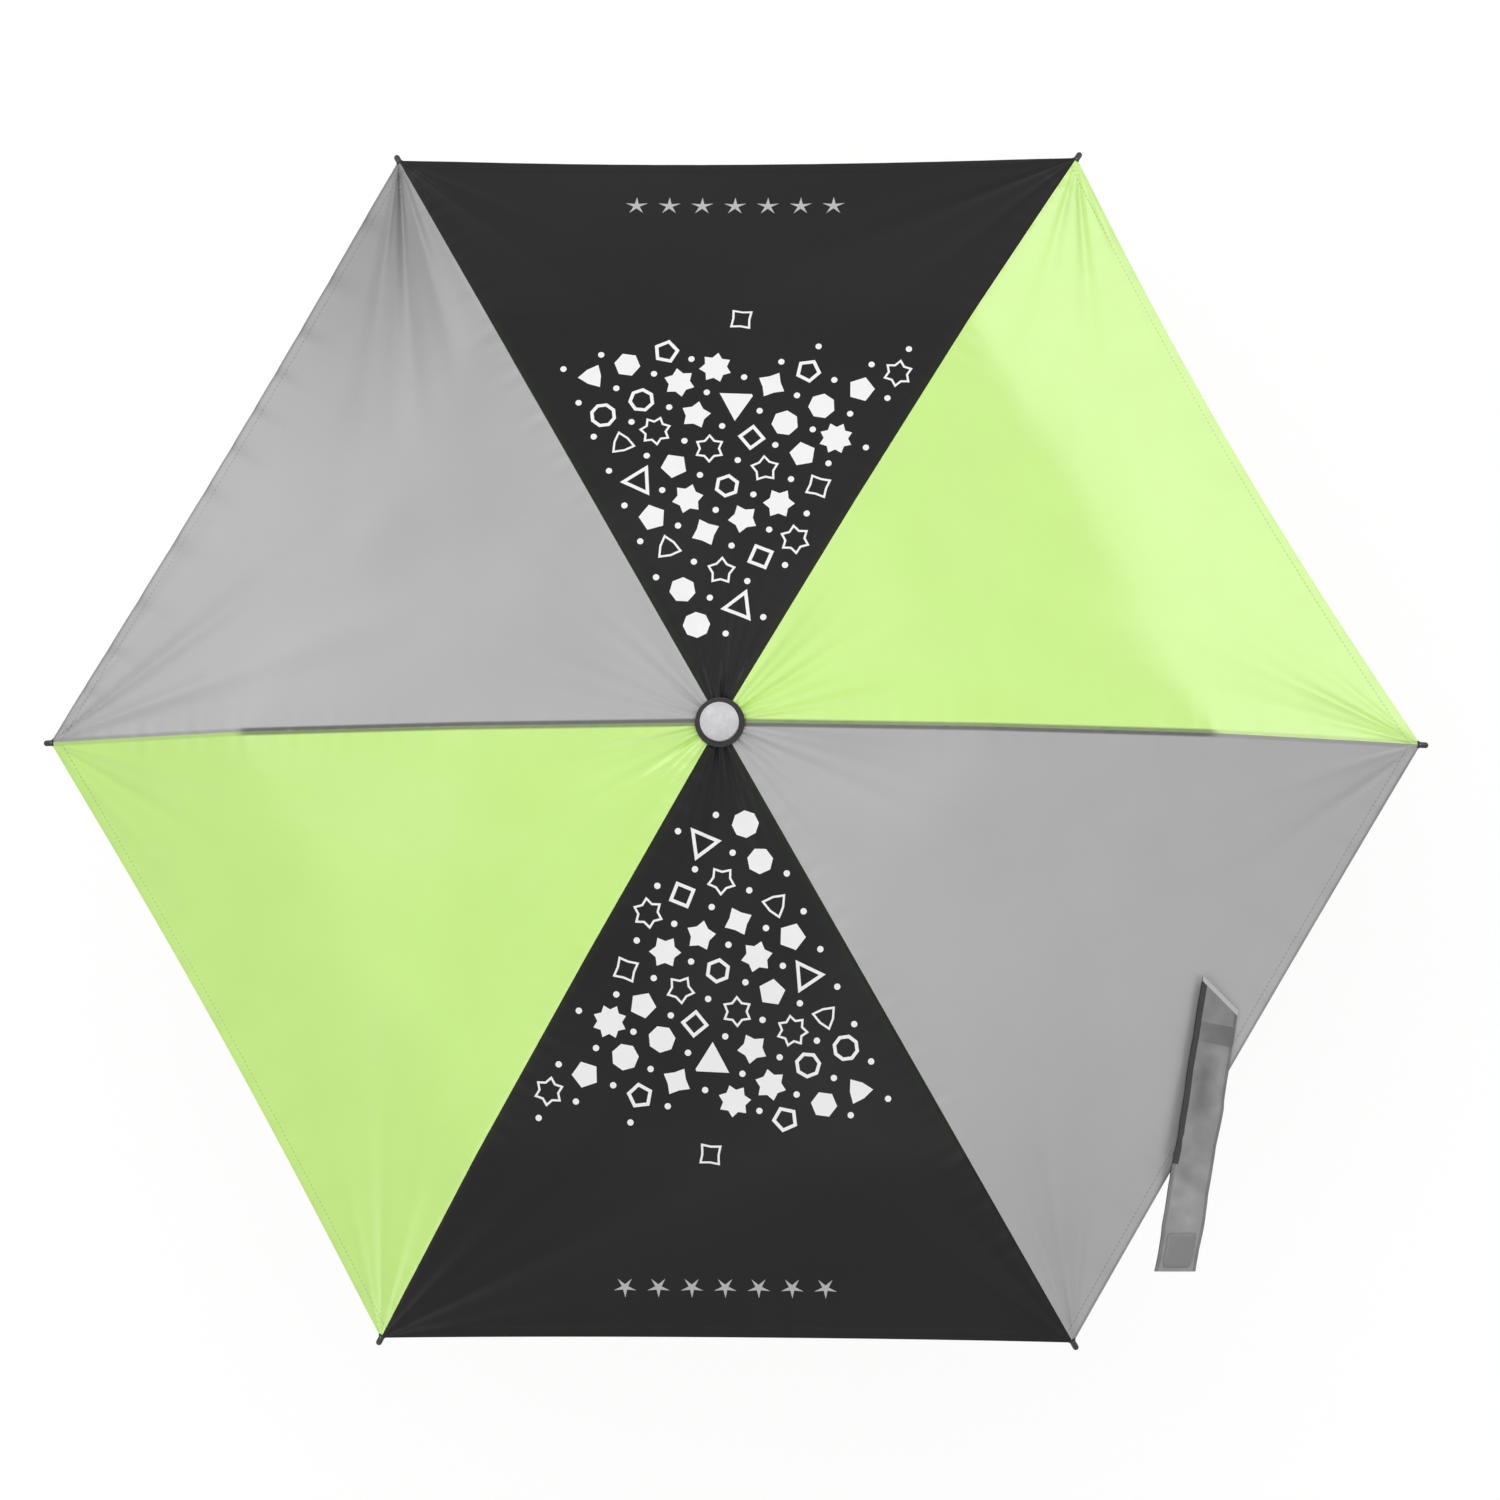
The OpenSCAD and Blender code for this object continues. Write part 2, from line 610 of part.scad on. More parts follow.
// A closed sheet from two grids of rows by columns, the upper one first
module sheet_solid(points, rows, cols) {
    under = rows * cols;
    quads = [for (i = [0:rows - 2], j = [0:cols - 2]) i * cols + j];
    rim = concat(
        [for (j = [0:cols - 2]) [j, j + 1]],
        [for (i = [0:rows - 2]) [i * cols + cols - 1, (i + 1) * cols + cols - 1]],
        [for (j = [cols - 1:-1:1]) [(rows - 1) * cols + j, (rows - 1) * cols + j - 1]],
        [for (i = [rows - 1:-1:1]) [i * cols, (i - 1) * cols]]
    );
    polyhedron(points, concat(
        [for (q = quads) [q, q + 1, q + cols]],
        [for (q = quads) [q + 1, q + cols + 1, q + cols]],
        [for (q = quads) [under + q, under + q + cols, under + q + 1]],
        [for (q = quads) [under + q + 1, under + q + cols, under + q + cols + 1]],
        [for (e = rim) [e[1], e[0], under + e[0]]],
        [for (e = rim) [e[1], under + e[0], under + e[1]]]
    ));
}

// A panel's rows lie on the rib joints and evenly between them
hole_r = upper_r + seat_gap + cloth_gap;
hole_ease = 1;
panel_bends = [hole_r / cos(HALF) + hole_ease, top_end.x, middle_end.x, hem_r];
rows_per_bend = 5;
panel_rows = 3 * rows_per_bend + 1;
panel_cols = 11;
function row_r(i) = lookup(i / rows_per_bend, [for (n = [0:3]) [n, panel_bends[n]]]);
function seam(r) = cloth_gap / 2 / (r * sin(STEP));

// One panel between a rib and the next, with a seam's gap at each side
module panel(k) at_rib(k) rotate([0, 0, HALF])
    sheet_solid([for (up = [cloth_t, 0], i = [0:panel_rows - 1], j = [0:panel_cols - 1])
        let(r = row_r(i), v = seam(r) + (1 - 2 * seam(r)) * j / (panel_cols - 1))
        panel_point(r, v, up)], panel_rows, panel_cols);

module canopy_green() color("#c2ee82") for (k = [1, 4]) panel(k);
module canopy_black() color("#262526") for (k = [2, 5]) panel(k);
module canopy_grey() color("#b2b2b2") for (k = [3, 6]) panel(k);

// The strap lies on its panel and hangs out past the hem
module closure_strap() color("#9b9b9b") at_rib(RIBS) rotate([0, 0, HALF]) {
    strap_rows = 13;
    strap_cols = 4;
    strap_loose = 0.4;
    lift = cloth_t + cloth_gap + strap_loose;
    from = hem_r * cos(HALF) - strap_inset;
    turn = strap_heading - (STEP * (RIBS - 1) + HALF);
    shrink = cos(outer_slope / 2);
    sheet_solid([for (up = [cloth_t, 0], i = [0:strap_rows - 1], j = [0:strap_cols - 1])
        let(s = shrink * strap_len * i / (strap_rows - 1))
        let(w = strap_w * (j / (strap_cols - 1) - 0.5))
        let(x = from + s * cos(turn) - w * sin(turn))
        let(y = strap_aside + s * sin(turn) + w * cos(turn))
        [x, y, panel_height(x, y) + lift + up]], strap_rows, strap_cols);
}

// Heights of the pieces stacked over the cloth at the top
rosette_under = rib_height(0) + cloth_t + cloth_gap;
ferrule_z = rosette_under + rosette_t;
function sloped(r) = -r * tan(top_slope);

module canopy_washer() color("#262526") turned_shape() translate([0, rosette_under]) polygon([
    [hole_r, sloped(hole_r)], [rosette_r, sloped(rosette_r)],
    [rosette_r, sloped(rosette_r) + rosette_t], [hole_r, sloped(hole_r) + rosette_t]
]);

module ferrule_cap() color("#d7d7da") difference() {
    dome_r = (ferrule_r * ferrule_r + ferrule_dome * ferrule_dome) / (2 * ferrule_dome);
    turned_shape() {
        polygon([[0, ferrule_z], [ferrule_r, ferrule_z + sloped(ferrule_r)],
            [ferrule_r, ferrule_z + ferrule_side], [0, ferrule_z + ferrule_side]]);
        intersection() {
            translate([0, ferrule_z + ferrule_side + ferrule_dome - dome_r])
                circle(dome_r, $fn = 128);
            translate([0, ferrule_z + ferrule_side]) square([ferrule_r, ferrule_dome + cut]);
        }
    }
    translate([0, 0, ferrule_z - cut])
        cylinder(r = upper_r + seat_gap, h = ferrule_socket + cut + seat_gap, $fn = 96);
}

handle_grip();
handle_end_cap();
lower_tube();
lower_bush();
middle_tube();
middle_bush();
upper_tube();
runner();
runner_button();
runner_wire();
top_notch();
notch_wire();
canopy_washer();
ferrule_cap();
canopy_green();
canopy_black();
canopy_grey();
closure_strap();
for (k = [1:RIBS]) top_rib(k);
for (k = [1:RIBS]) stretcher(k);
for (k = [1:RIBS]) connecting_link(k);
for (k = [1:RIBS]) middle_rib(k);
for (k = [1:RIBS]) pull_wire(k);
for (k = [1:RIBS]) outer_rib(k);
for (k = [1:RIBS]) rib_tip(k);
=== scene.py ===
import json
import math

import bpy
import numpy as np
from bpy.props import FloatProperty, FloatVectorProperty, PointerProperty
from mathutils import Matrix, Vector


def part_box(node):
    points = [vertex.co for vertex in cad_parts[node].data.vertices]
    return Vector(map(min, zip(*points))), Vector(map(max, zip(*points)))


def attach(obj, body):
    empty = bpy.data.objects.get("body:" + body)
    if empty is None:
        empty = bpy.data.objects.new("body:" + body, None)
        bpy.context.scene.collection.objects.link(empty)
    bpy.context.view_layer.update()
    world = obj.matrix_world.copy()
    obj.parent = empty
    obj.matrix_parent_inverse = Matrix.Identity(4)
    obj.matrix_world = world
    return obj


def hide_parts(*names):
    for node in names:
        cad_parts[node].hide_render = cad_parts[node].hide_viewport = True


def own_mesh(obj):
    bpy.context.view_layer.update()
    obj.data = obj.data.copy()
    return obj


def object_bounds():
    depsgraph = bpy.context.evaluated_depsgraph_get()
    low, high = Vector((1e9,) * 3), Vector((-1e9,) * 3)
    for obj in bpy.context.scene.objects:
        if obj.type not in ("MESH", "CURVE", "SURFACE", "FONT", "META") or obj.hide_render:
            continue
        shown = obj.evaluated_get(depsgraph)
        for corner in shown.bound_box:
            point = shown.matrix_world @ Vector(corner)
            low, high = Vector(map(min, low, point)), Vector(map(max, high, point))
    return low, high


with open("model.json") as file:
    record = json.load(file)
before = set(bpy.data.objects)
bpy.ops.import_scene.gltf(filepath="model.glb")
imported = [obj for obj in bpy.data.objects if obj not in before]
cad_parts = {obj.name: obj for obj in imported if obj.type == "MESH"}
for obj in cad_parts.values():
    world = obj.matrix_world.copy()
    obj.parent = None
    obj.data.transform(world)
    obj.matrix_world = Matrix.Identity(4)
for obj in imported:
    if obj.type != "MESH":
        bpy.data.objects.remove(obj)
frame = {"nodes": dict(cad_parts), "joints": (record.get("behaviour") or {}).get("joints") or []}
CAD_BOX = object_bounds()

bl_info = {
    "name": "Children's Folding Umbrella",
    "version": (1, 0, 0),
    "blender": (4, 5, 0),
    "location": "View3D > Sidebar > Umbrella",
    "description": "Cloth, trim, finishes and stage of a six-panel folding umbrella",
    "category": "Add Mesh",
}

RIBS = 6
STEP = math.tau / RIBS
HALF = STEP / 2
COS_HALF = math.cos(HALF)
SIN_HALF = math.sin(HALF)
TAN_HALF = math.tan(HALF)
# The golden angle, which keeps the phases of the wrinkles apart from panel to panel
GOLDEN = 2.399963


# Places read from the frame


def joint_point(name):
    """Place of a joint in the row frame, in metres."""
    return np.array(next(j for j in frame["joints"] if j["name"] == name)["pos_m"])


def node_points(name):
    """Corner points of a CAD node as an array (points, 3), in metres."""
    vertices = frame["nodes"][name].data.vertices
    points = np.empty(3 * len(vertices), np.float32)
    vertices.foreach_get("co", points)
    return points.reshape(-1, 3).astype(float)


def cloth_line():
    """Distances from the shaft and heights of the solid canopy's upper side over the first rib."""
    seam_gap = 0.0005
    points = node_points("canopy_green")
    over = points[(points[:, 0] > 0) & (np.abs(points[:, 1]) < seam_gap)]
    distance = np.round(over[:, 0], 5)
    rows = np.unique(distance)
    return rows, np.array([over[distance == r, 2].max() for r in rows])


ROW_R, ROW_Z = cloth_line()
KNEE_R = joint_point("knee_hinge_1")[0]
TAIL_R = joint_point("tail_hinge_1")[0]
NOTCH = joint_point("top_rib_hinge_1")
HEM_R = ROW_R[-1]
FIRST_SLOPE = (np.interp(KNEE_R, ROW_R, ROW_Z) - ROW_Z[0]) / (KNEE_R - ROW_R[0])
# The cloth over a rib: distances from the shaft, heights, slopes and lengths along the cloth
LINE_R = np.array([0, KNEE_R, TAIL_R, HEM_R])
LINE_Z = np.append(ROW_Z[0] - FIRST_SLOPE * ROW_R[0], np.interp(LINE_R[1:], ROW_R, ROW_Z))
LINE_SLOPE = np.diff(LINE_Z) / np.diff(LINE_R)
LINE_LENGTH = np.append(0, np.cumsum(np.hypot(np.diff(LINE_R), np.diff(LINE_Z))))


# Settings


def linear(code):
    """Linear colour of an sRGB hex code."""
    parts = [int(code[i:i + 2], 16) / 255 for i in (1, 3, 5)]
    return [c / 12.92 if c <= 0.04045 else ((c + 0.055) / 1.055) ** 2.4 for c in parts] + [1.0]


def colour(name, code, description):
    """A colour property whose default is an sRGB hex code."""
    return FloatVectorProperty(
        name=name, description=description, subtype="COLOR", size=4, min=0, max=1, default=linear(code)
    )


def length(name, metres, description):
    """A length property in metres."""
    return FloatProperty(
        name=name, description=description, subtype="DISTANCE", unit="LENGTH", default=metres, precision=5
    )


def angle(name, degrees, description):
    """An angle property whose default is given in degrees."""
    return FloatProperty(name=name, description=description, subtype="ANGLE", default=math.radians(degrees))


def number(name, value, description):
    """A property without a unit."""
    return FloatProperty(name=name, description=description, default=value, precision=4)


class CanopySettings(bpy.types.PropertyGroup):
    """Sizes and colours of the canopy"""

    thickness: length("Cloth", 0.0003, "Thickness of the canopy cloth with its coating")
    dip: length("Dip", 0.008, "Dip of the cloth between two ribs at the hem")
    hem_curves: FloatVectorProperty(
        name="Hem curves", description="How far each panel's hem curves in between two tips",
        size=RIBS, precision=4, default=(0.0075, 0.0022, 0.0009, 0.0035, 0.002, 0.0014),
    )
    rib_bend: length("Bend at a rib", 0.004, "Width of the bend that a rib joint presses into the cloth")
    cloth_bend: length("Bend between ribs", 0.022, "Width of that bend in the middle of a panel")
    hole: length("Hole", 0.006, "Distance of the cloth's inner edge from the shaft's axis")
    tip_drop: length("Tip drop", 0.0019, "How far a corner of the cloth is drawn down on its rib tip")
    hem_fold: length("Hem fold", 0.007, "Width of the folded hem")
    # Painted shadow of a rib seen through the thin cloth
    rib_shadow: length("Rib mark", 0.0024, "Half the width of the dark line where a rib shows through")
    seam_shade: length("Seam shade", 0.0045, "Width of the darker strip beside a black panel's seams")
    green: colour("Green", "#C1EA78", "Light green panels")
    grey: colour("Grey", "#AEAEAE", "Grey panels")
    black: colour("Black", "#1D1C1D", "Black panels")
    white: colour("Print", "#F2F1F2", "White print on the black panels")


class TrimSettings(bpy.types.PropertyGroup):
    """Sizes and colours of the strap, rosette and threads"""

    strap_width: length("Strap width", 0.0265, "Width of the closure strap")
    strap_length: length("Strap length", 0.194, "Length of the closure strap")
    strap_inset: length("Strap inset", 0.034, "Distance of its sewn end inside the line between two tips")
    strap_aside: length("Strap aside", 0.0255, "Distance of its sewn end from the panel's middle")
    strap_thickness: length("Strap thickness", 0.0011, "Thickness of the doubled strap")
    strap_heading: angle("Strap heading", 260.5, "Direction in which it hangs")
    patch_length: length("Patch length", 0.022, "Length of the hook patch")
    patch_width: length("Patch width", 0.019, "Width of the hook patch")
    thread: length("Thread", 0.0005, "Diameter of the sewing thread at the ribs")
    strap: colour("Strap", "#8B8B8B", "Grey of the strap")
    patch: colour("Hook patch", "#818182", "Grey of the hook patch")
    cap: colour("Cap", "#CCCCCF", "Light grey of the ferrule cap")
    dark: colour("Dark plastic", "#1F1F21", "Black of the plastic pieces and threads")
    grip: colour("Grip", "#232325", "Black of the handle")


class StageSettings(bpy.types.PropertyGroup):
    """Camera and light"""

    frame_pixels: number("Picture", 1500, "Pixels along a side of the picture")
    tips_pixels: number("Tips", 1388, "Pixels between the left and the right tip")
    middle_x: number("Middle x", 731.5, "Pixels from the left to the tips' middle")
    middle_y: number("Middle y", 744, "Pixels from the top to the tips' middle")
    lean_x: number("Lean right", 0.062, "Camera's sideways lean for a unit of height")
    lean_y: number("Lean down", 0.118, "Camera's downward lean for a unit of height")
    roll: angle("Roll", 0.5, "Turn of the picture to the right")
    distance: length("Distance", 4.2, "Distance of the camera from the tips")
    world: number("World", 0.43, "Strength of the even light from all round")
    top: number("Top light", 0.235, "Level of the softbox overhead")
    right: number("Right light", 0.26, "Level of the softbox from the upper right")
    left: number("Left light", 0.28, "Level of the softbox from the upper left")
    low: number("Low light", 0.28, "Level of the softbox from the lower left")
    low_right: number("Low right light", 0.055, "Level of the softbox from the lower right")


# The canopy's surface


def rib_height(distance, soft):
    """Height of the cloth over a rib at a distance from the shaft: straight lines between the rib
    joints. At each joint the change of slope comes in along a hyperbola of width soft."""
    height = LINE_Z[0] + LINE_SLOPE[0] * distance
    for joint, change in zip(LINE_R[1:-1], np.diff(LINE_SLOPE)):
        past = distance - joint
        height = height + change * (past + np.sqrt(past**2 + soft**2)) / 2
    return height


def panel_place(side, x, y, hem_curve):
    """Place in a panel of a point given in its rib's frame, x along the rib and y to its side.
    Lines across the panel are chords from rib to rib that bow inwards with the fourth power of
    their distance, as the hem does. Returns the chord's distance along its ribs, the share of the
    way from the panel's first rib to its second, the bow's share, and out and across, which are
    measured along and from the panel's middle."""
    out = x * COS_HALF + y * SIN_HALF
    across = side * (y * COS_HALF - x * SIN_HALF)
    chord = out / COS_HALF
    share = 0.5 + across / (2 * chord * SIN_HALF)
    bow = np.clip(4 * share * (1 - share), 0, None)
    distance = (out + hem_curve * bow * (np.minimum(chord, HEM_R) / HEM_R) ** 4) / COS_HALF
    return distance, share, bow, out, across


def panel_number(rib, side):
    """Number of the panel on one side of a rib: panel n lies between ribs n and n + 1."""
    return rib if side > 0 else (rib - 2) % RIBS + 1


# Puckers beside a seam and the groove in it: depths, reach, wave lengths and width, in metres
SEAM_PUCKER = 0.0002
SEAM_REACH = 0.009
SEAM_STEPS = (0.0113, 0.0174)
GROOVE = 0.0003
GROOVE_WIDTH = 0.0013
# Dents along the hem: each panel's depth, reach, spacing, and the drift of that spacing in radians
HEM_PUCKERS = (0.0003, 0.0003, 0.0011, 0.0003, 0.0003, 0.0005)
HEM_REACH = 0.013
HEM_STEP = 0.034
HEM_DRIFT = 1.6
HEM_DRIFT_STEP = 0.23
DENT_POWER = 5
# Rise of the folded hem, and the width of the step to it
HEM_RISE = 0.00025
HEM_RISE_WIDTH = 0.001
# How far the rosette presses the cloth down, out to where, and the width of the step there
PRESS = 0.0006
PRESS_R = 0.0158
PRESS_WIDTH = 0.0008
# Pleats at the crown, and slack in the middle of a panel
PLEAT = 0.0006
PLEAT_REACH = 0.075
PLEAT_COUNTS = (4.3, 7.1)
SLACK = 0.0019
SLACK_STEP = 0.19
# Folds that run from a tip: angle from the seam, half its width and its height, and each panel's share
TIP_FOLDS = ((0.26, 0.07, 0.0024), (0.52, 0.06, -0.0032), (0.78, 0.06, 0.0016))
FOLD_SHARES = (0.75, 0.5, 1.9, 0.6, 0.5, 1.2)
FOLD_REACH = 0.11
FOLD_START = 0.03
FOLD_LEAN = 0.25
TIP_DROP_REACH = 0.022
# Painted shade of the folds at a panel's first and second tip: how much darker the cloth is, and how far that
# reaches
TIP_SHADES = ((0.03, 0.03), (0, 0), (0.5, 0.05), (0.04, 0.04), (0, 0), (0.14, 0.06))
SHADE_REACH = 0.14
# Shares of that shade everywhere and along the middle fold, and that streak's width in fold widths
SHADE_SHARE = 0.8
STREAK_SHARE = 0.4
STREAK_WIDTH = 1.5
# Painted shade of a dent for a metre of its depth
DENT_SHADE = 130.0


def below(value, edge, width):
    """Soft step: 1 where a value lies well below an edge and 0 well above it."""
    return 0.5 - 0.5 * np.tanh((value - edge) / width)


def bell(value, half_width):
    """Bell curve: 1 where a value is 0, and 1/e at half its width."""
    return np.exp(-((value / half_width) ** 2))


def hem_dents(panel, across, edge):
    """Share of its depth that a dent has at a place: sharp crests of a drifting sine wave along the
    hem that die away from it."""
    phase = GOLDEN * panel
    drift = HEM_DRIFT * np.sin(math.tau * across / HEM_DRIFT_STEP + phase)
    wave = np.sin(math.tau * across / HEM_STEP + phase + drift)
    return (0.5 + 0.5 * wave) ** DENT_POWER * np.exp(-edge / HEM_REACH)


def tip_place(out, across, tip_side):
    """Distance from a panel's tip, and the angle there from the seam."""
    back = HEM_R * COS_HALF - out
    away = HEM_R * SIN_HALF - tip_side * across
    turn = np.arctan2(np.abs(away * COS_HALF - back * SIN_HALF), back * COS_HALF + away * SIN_HALF)
    return np.hypot(back, away), turn


def wrinkles(rib, side, x, y, place, settings):
    """Height that the wrinkles add to the stretched cloth. Puckers along a seam are two sine waves
    that die away from it, dents along the hem are sharp crests of a drifting sine wave, pleats at
    the crown are sine waves in the share across, folds from the tips are bell curves in the angle
    round a tip, and slack is one long wave in the middle of the panel."""
    distance, share, bow, out, across = place
    panel = panel_number(rib, side)
    rib_phase = GOLDEN * rib
    phase = GOLDEN * panel
    edge = np.maximum(HEM_R - distance, 0)

    height = -GROOVE * bell(y, GROOVE_WIDTH)
    beside = np.exp(-y / SEAM_REACH) * (1 - np.exp(-y / GROOVE_WIDTH))
    for n, step in enumerate(SEAM_STEPS, 1):
        height += SEAM_PUCKER * beside * np.sin(math.tau * x / step + n * rib_phase)
    height -= HEM_PUCKERS[panel - 1] * hem_dents(panel, across, edge) * np.sqrt(bow)
    height += HEM_RISE * below(edge, settings.hem_fold, HEM_RISE_WIDTH)
    height -= PRESS * below(np.hypot(x, y), PRESS_R, PRESS_WIDTH)

    crown = PLEAT * np.exp(-distance / PLEAT_REACH) * bow
    for n, count in enumerate(PLEAT_COUNTS, 1):
        height += crown * np.sin(math.tau * count * share + n * phase)
    swing = np.sin(math.tau * distance / SLACK_STEP + phase) * np.cos(math.tau * share + phase)
    height += SLACK * bow * swing

    lean = FOLD_LEAN * math.sin(phase)
    for tip_side in (-1, 1):
        reach, turn = tip_place(out, across, tip_side)
        swell = (1 - np.exp(-reach / FOLD_START)) * np.exp(-reach / FOLD_REACH)
        for fold, half_width, rise in TIP_FOLDS:
            crest = bell(turn - fold * (1 + tip_side * lean), half_width)
            height += FOLD_SHARES[panel - 1] * rise * swell * crest
        height -= settings.tip_drop * bell(reach, TIP_DROP_REACH)
    return height


def painted_cloth_shading(rib, side, x, y, settings):
    """Painted shade of the cloth, as the share of its colour that it shows: it darkens in the hem's
    dents, and towards the tips with a bell curve of the distance, half as much again along the fold
    in the angle's middle."""
    panel = panel_number(rib, side)
    distance, _, _, out, across = panel_place(side, x, y, settings.hem_curves[panel - 1])
    edge = np.maximum(HEM_R - distance, 0)
    tone = 1 - DENT_SHADE * HEM_PUCKERS[panel - 1] * hem_dents(panel, across, edge)
    middle_fold, half_width, _ = TIP_FOLDS[1]
    for tip_side, shade in zip((-1, 1), TIP_SHADES[panel - 1]):
        reach, turn = tip_place(out, across, tip_side)
        streak = bell(turn - middle_fold, STREAK_WIDTH * half_width)
        tone -= shade * (SHADE_SHARE + STREAK_SHARE * streak) * bell(reach, SHADE_REACH)
    return tone


def cloth_height(rib, side, x, y, settings):
    """Height of the cloth's upper side: the height over the ribs, less a dip that grows with the
    distance from the shaft and is deepest midway between two ribs, plus the wrinkles."""
    place = panel_place(side, x, y, settings.hem_curves[panel_number(rib, side) - 1])
    distance, _, bow, _, _ = place
    soft = settings.rib_bend + (settings.cloth_bend - settings.rib_bend) * bow
    height = rib_height(distance, soft) - settings.dip * bow * np.minimum(distance, HEM_R) / HEM_R
    return height + wrinkles(rib, side, x, y, place, settings)


def cloth_points(rib, side, x, y, settings):
    """Points and unit normals of the cloth in the row frame, over points of a rib's frame. The
    slopes are differences over a short step, one-sided at the rib."""
    step = 0.0003
    height = cloth_height(rib, side, x, y, settings)
    ahead = cloth_height(rib, side, x + step, y, settings)
    behind = cloth_height(rib, side, x - step, y, settings)
    inward = np.maximum(y - step, 0)
    beyond = cloth_height(rib, side, x, y + step, settings)
    before = cloth_height(rib, side, x, inward, settings)
    slope_x = (ahead - behind) / (2 * step)
    slope_y = side * (beyond - before) / (y + step - inward)
    turn = np.array(Matrix.Rotation(STEP * (rib - 1), 3, "Z"))
    points = np.stack([x, side * y, height], -1) @ turn.T
    normals = np.stack([-slope_x, -slope_y, np.ones_like(x)], -1) @ turn.T
    return points, normals / np.linalg.norm(normals, axis=-1, keepdims=True)


# Meshes


def add_object(name, mesh, body):
    """Puts a mesh into the scene, riding on a body and finished from a material slot."""
    piece = bpy.data.objects.new(name, mesh)
    bpy.context.scene.collection.objects.link(piece)
    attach(piece, body)
    return piece


def sheet_mesh(name, upper, normals, thickness, finishes, uv=None, marks=None, tone=None):
    """A closed thin sheet from a grid of upper points (rows, columns, 3). Its lower side lies one
    thickness below along the normals, and a rim of quads joins the two. The lower side takes the
    last finish. Marks and tone are values at the points that the finishes read; the tone is painted shading."""
    rows, columns = upper.shape[:2]
    count = rows * columns
    grid = np.arange(count).reshape(rows, columns)
    corners = [grid[:-1, :-1], grid[:-1, 1:], grid[1:, 1:], grid[1:, :-1]]
    quads = np.stack([c.ravel() for c in corners], -1)
    rim = np.concatenate([grid[0, :-1], grid[:-1, -1], grid[-1, :0:-1], grid[:0:-1, 0]])
    facing = np.cross(upper[:-1, 1:] - upper[:-1, :-1], upper[1:, :-1] - upper[:-1, :-1])
    if np.sum(facing * normals[:-1, :-1]) < 0:
        quads = quads[:, ::-1]
        rim = rim[::-1]
    after = np.roll(rim, -1)
    walls = np.stack([after, rim, rim + count, after + count], -1)
    lower = upper - thickness * normals
    points = np.concatenate([upper.reshape(-1, 3), lower.reshape(-1, 3)])
    faces = np.concatenate([quads, quads[:, ::-1] + count, walls])
    mesh = bpy.data.meshes.new(name)
    mesh.from_pydata(points.tolist(), [], faces.tolist())
    for finish in finishes:
        mesh.materials.append(finish)
    sides = np.zeros(len(faces), np.int32)
    sides[len(quads):] = len(finishes) - 1
    mesh.polygons.foreach_set("material_index", sides)
    mesh.polygons.foreach_set("use_smooth", np.ones(len(faces), bool))
    corner_points = faces.ravel()
    if uv is not None:
        layer = mesh.uv_layers.new(name="cloth")
        both = np.concatenate([uv.reshape(-1, 2)] * 2)
        layer.data.foreach_set("uv", both[corner_points].astype(np.float32).ravel())
    if marks is not None:
        attribute = mesh.attributes.new("cloth_marks", "FLOAT_VECTOR", "POINT")
        both = np.concatenate([marks.reshape(-1, 3)] * 2)
        attribute.data.foreach_set("vector", both.astype(np.float32).ravel())
    if tone is not None:
        attribute = mesh.attributes.new("painted_cloth_shading", "FLOAT", "POINT")
        attribute.data.foreach_set("value", np.concatenate([tone.ravel()] * 2).astype(np.float32))
    shading = np.concatenate([normals.reshape(-1, 3), -normals.reshape(-1, 3)])
    mesh.normals_split_custom_set_from_vertices(shading.tolist())
    mesh.update()
    return mesh


def ring_mesh(name, rings, finish):
    """A closed ring from points (rings, profile, 3): a closed profile carried round a closed path."""
    count, profile = rings.shape[:2]
    grid = np.arange(count * profile).reshape(count, profile)
    onward = np.roll(grid, -1, 0)
    corners = [grid, onward, np.roll(onward, -1, 1), np.roll(grid, -1, 1)]
    faces = np.stack([c.ravel() for c in corners], -1)
    mesh = bpy.data.meshes.new(name)
    mesh.from_pydata(rings.reshape(-1, 3).tolist(), [], faces.tolist())
    mesh.materials.append(finish)
    mesh.polygons.foreach_set("use_smooth", np.ones(len(faces), bool))
    mesh.update()
    return mesh


# Materials


def put(tree, kind, links=None, **settings):
    """Adds a node. The settings are its properties, and links gives inputs, by name or number, a
    value or the socket that feeds them."""
    node = tree.nodes.new(kind)
    for key, value in settings.items():
        setattr(node, key, value)
    for key, value in (links or {}).items():
        if isinstance(value, bpy.types.NodeSocket):
            tree.links.new(value, node.inputs[key])
        else:
            node.inputs[key].default_value = value
    return node


def work_out(tree, known, steps):
    """Works out formulas in nodes. A step is a result's name, an operation and its operands, which
    are numbers or the names of earlier results. RANGE carries a value over from one range to another
    and holds it at the ends. Known holds the sockets of all results by name."""
    for name, operation, *operands in steps:
        links = {i: known.get(value, value) for i, value in enumerate(operands)}
        if operation == "RANGE":
            node = put(tree, "ShaderNodeMapRange", links)
        else:
            node = put(tree, "ShaderNodeMath", links, operation=operation)
        known[name] = node.outputs[0]
    return known


def new_finish(name, base, roughness, **constants):
    """A material with a Principled shader whose even values sit on its own sockets. Returns the
    material, its node tree and the shader."""
    finish = bpy.data.materials.new(name)
    finish.use_nodes = True
    tree = finish.node_tree
    tree.nodes.clear()
    values = {"Base Color": base, "Roughness": roughness}
    values.update({key.replace("_", " "): value for key, value in constants.items()})
    shader = put(tree, "ShaderNodeBsdfPrincipled", values)
    put(tree, "ShaderNodeOutputMaterial", {"Surface": shader.outputs[0]})
    return finish, tree, shader


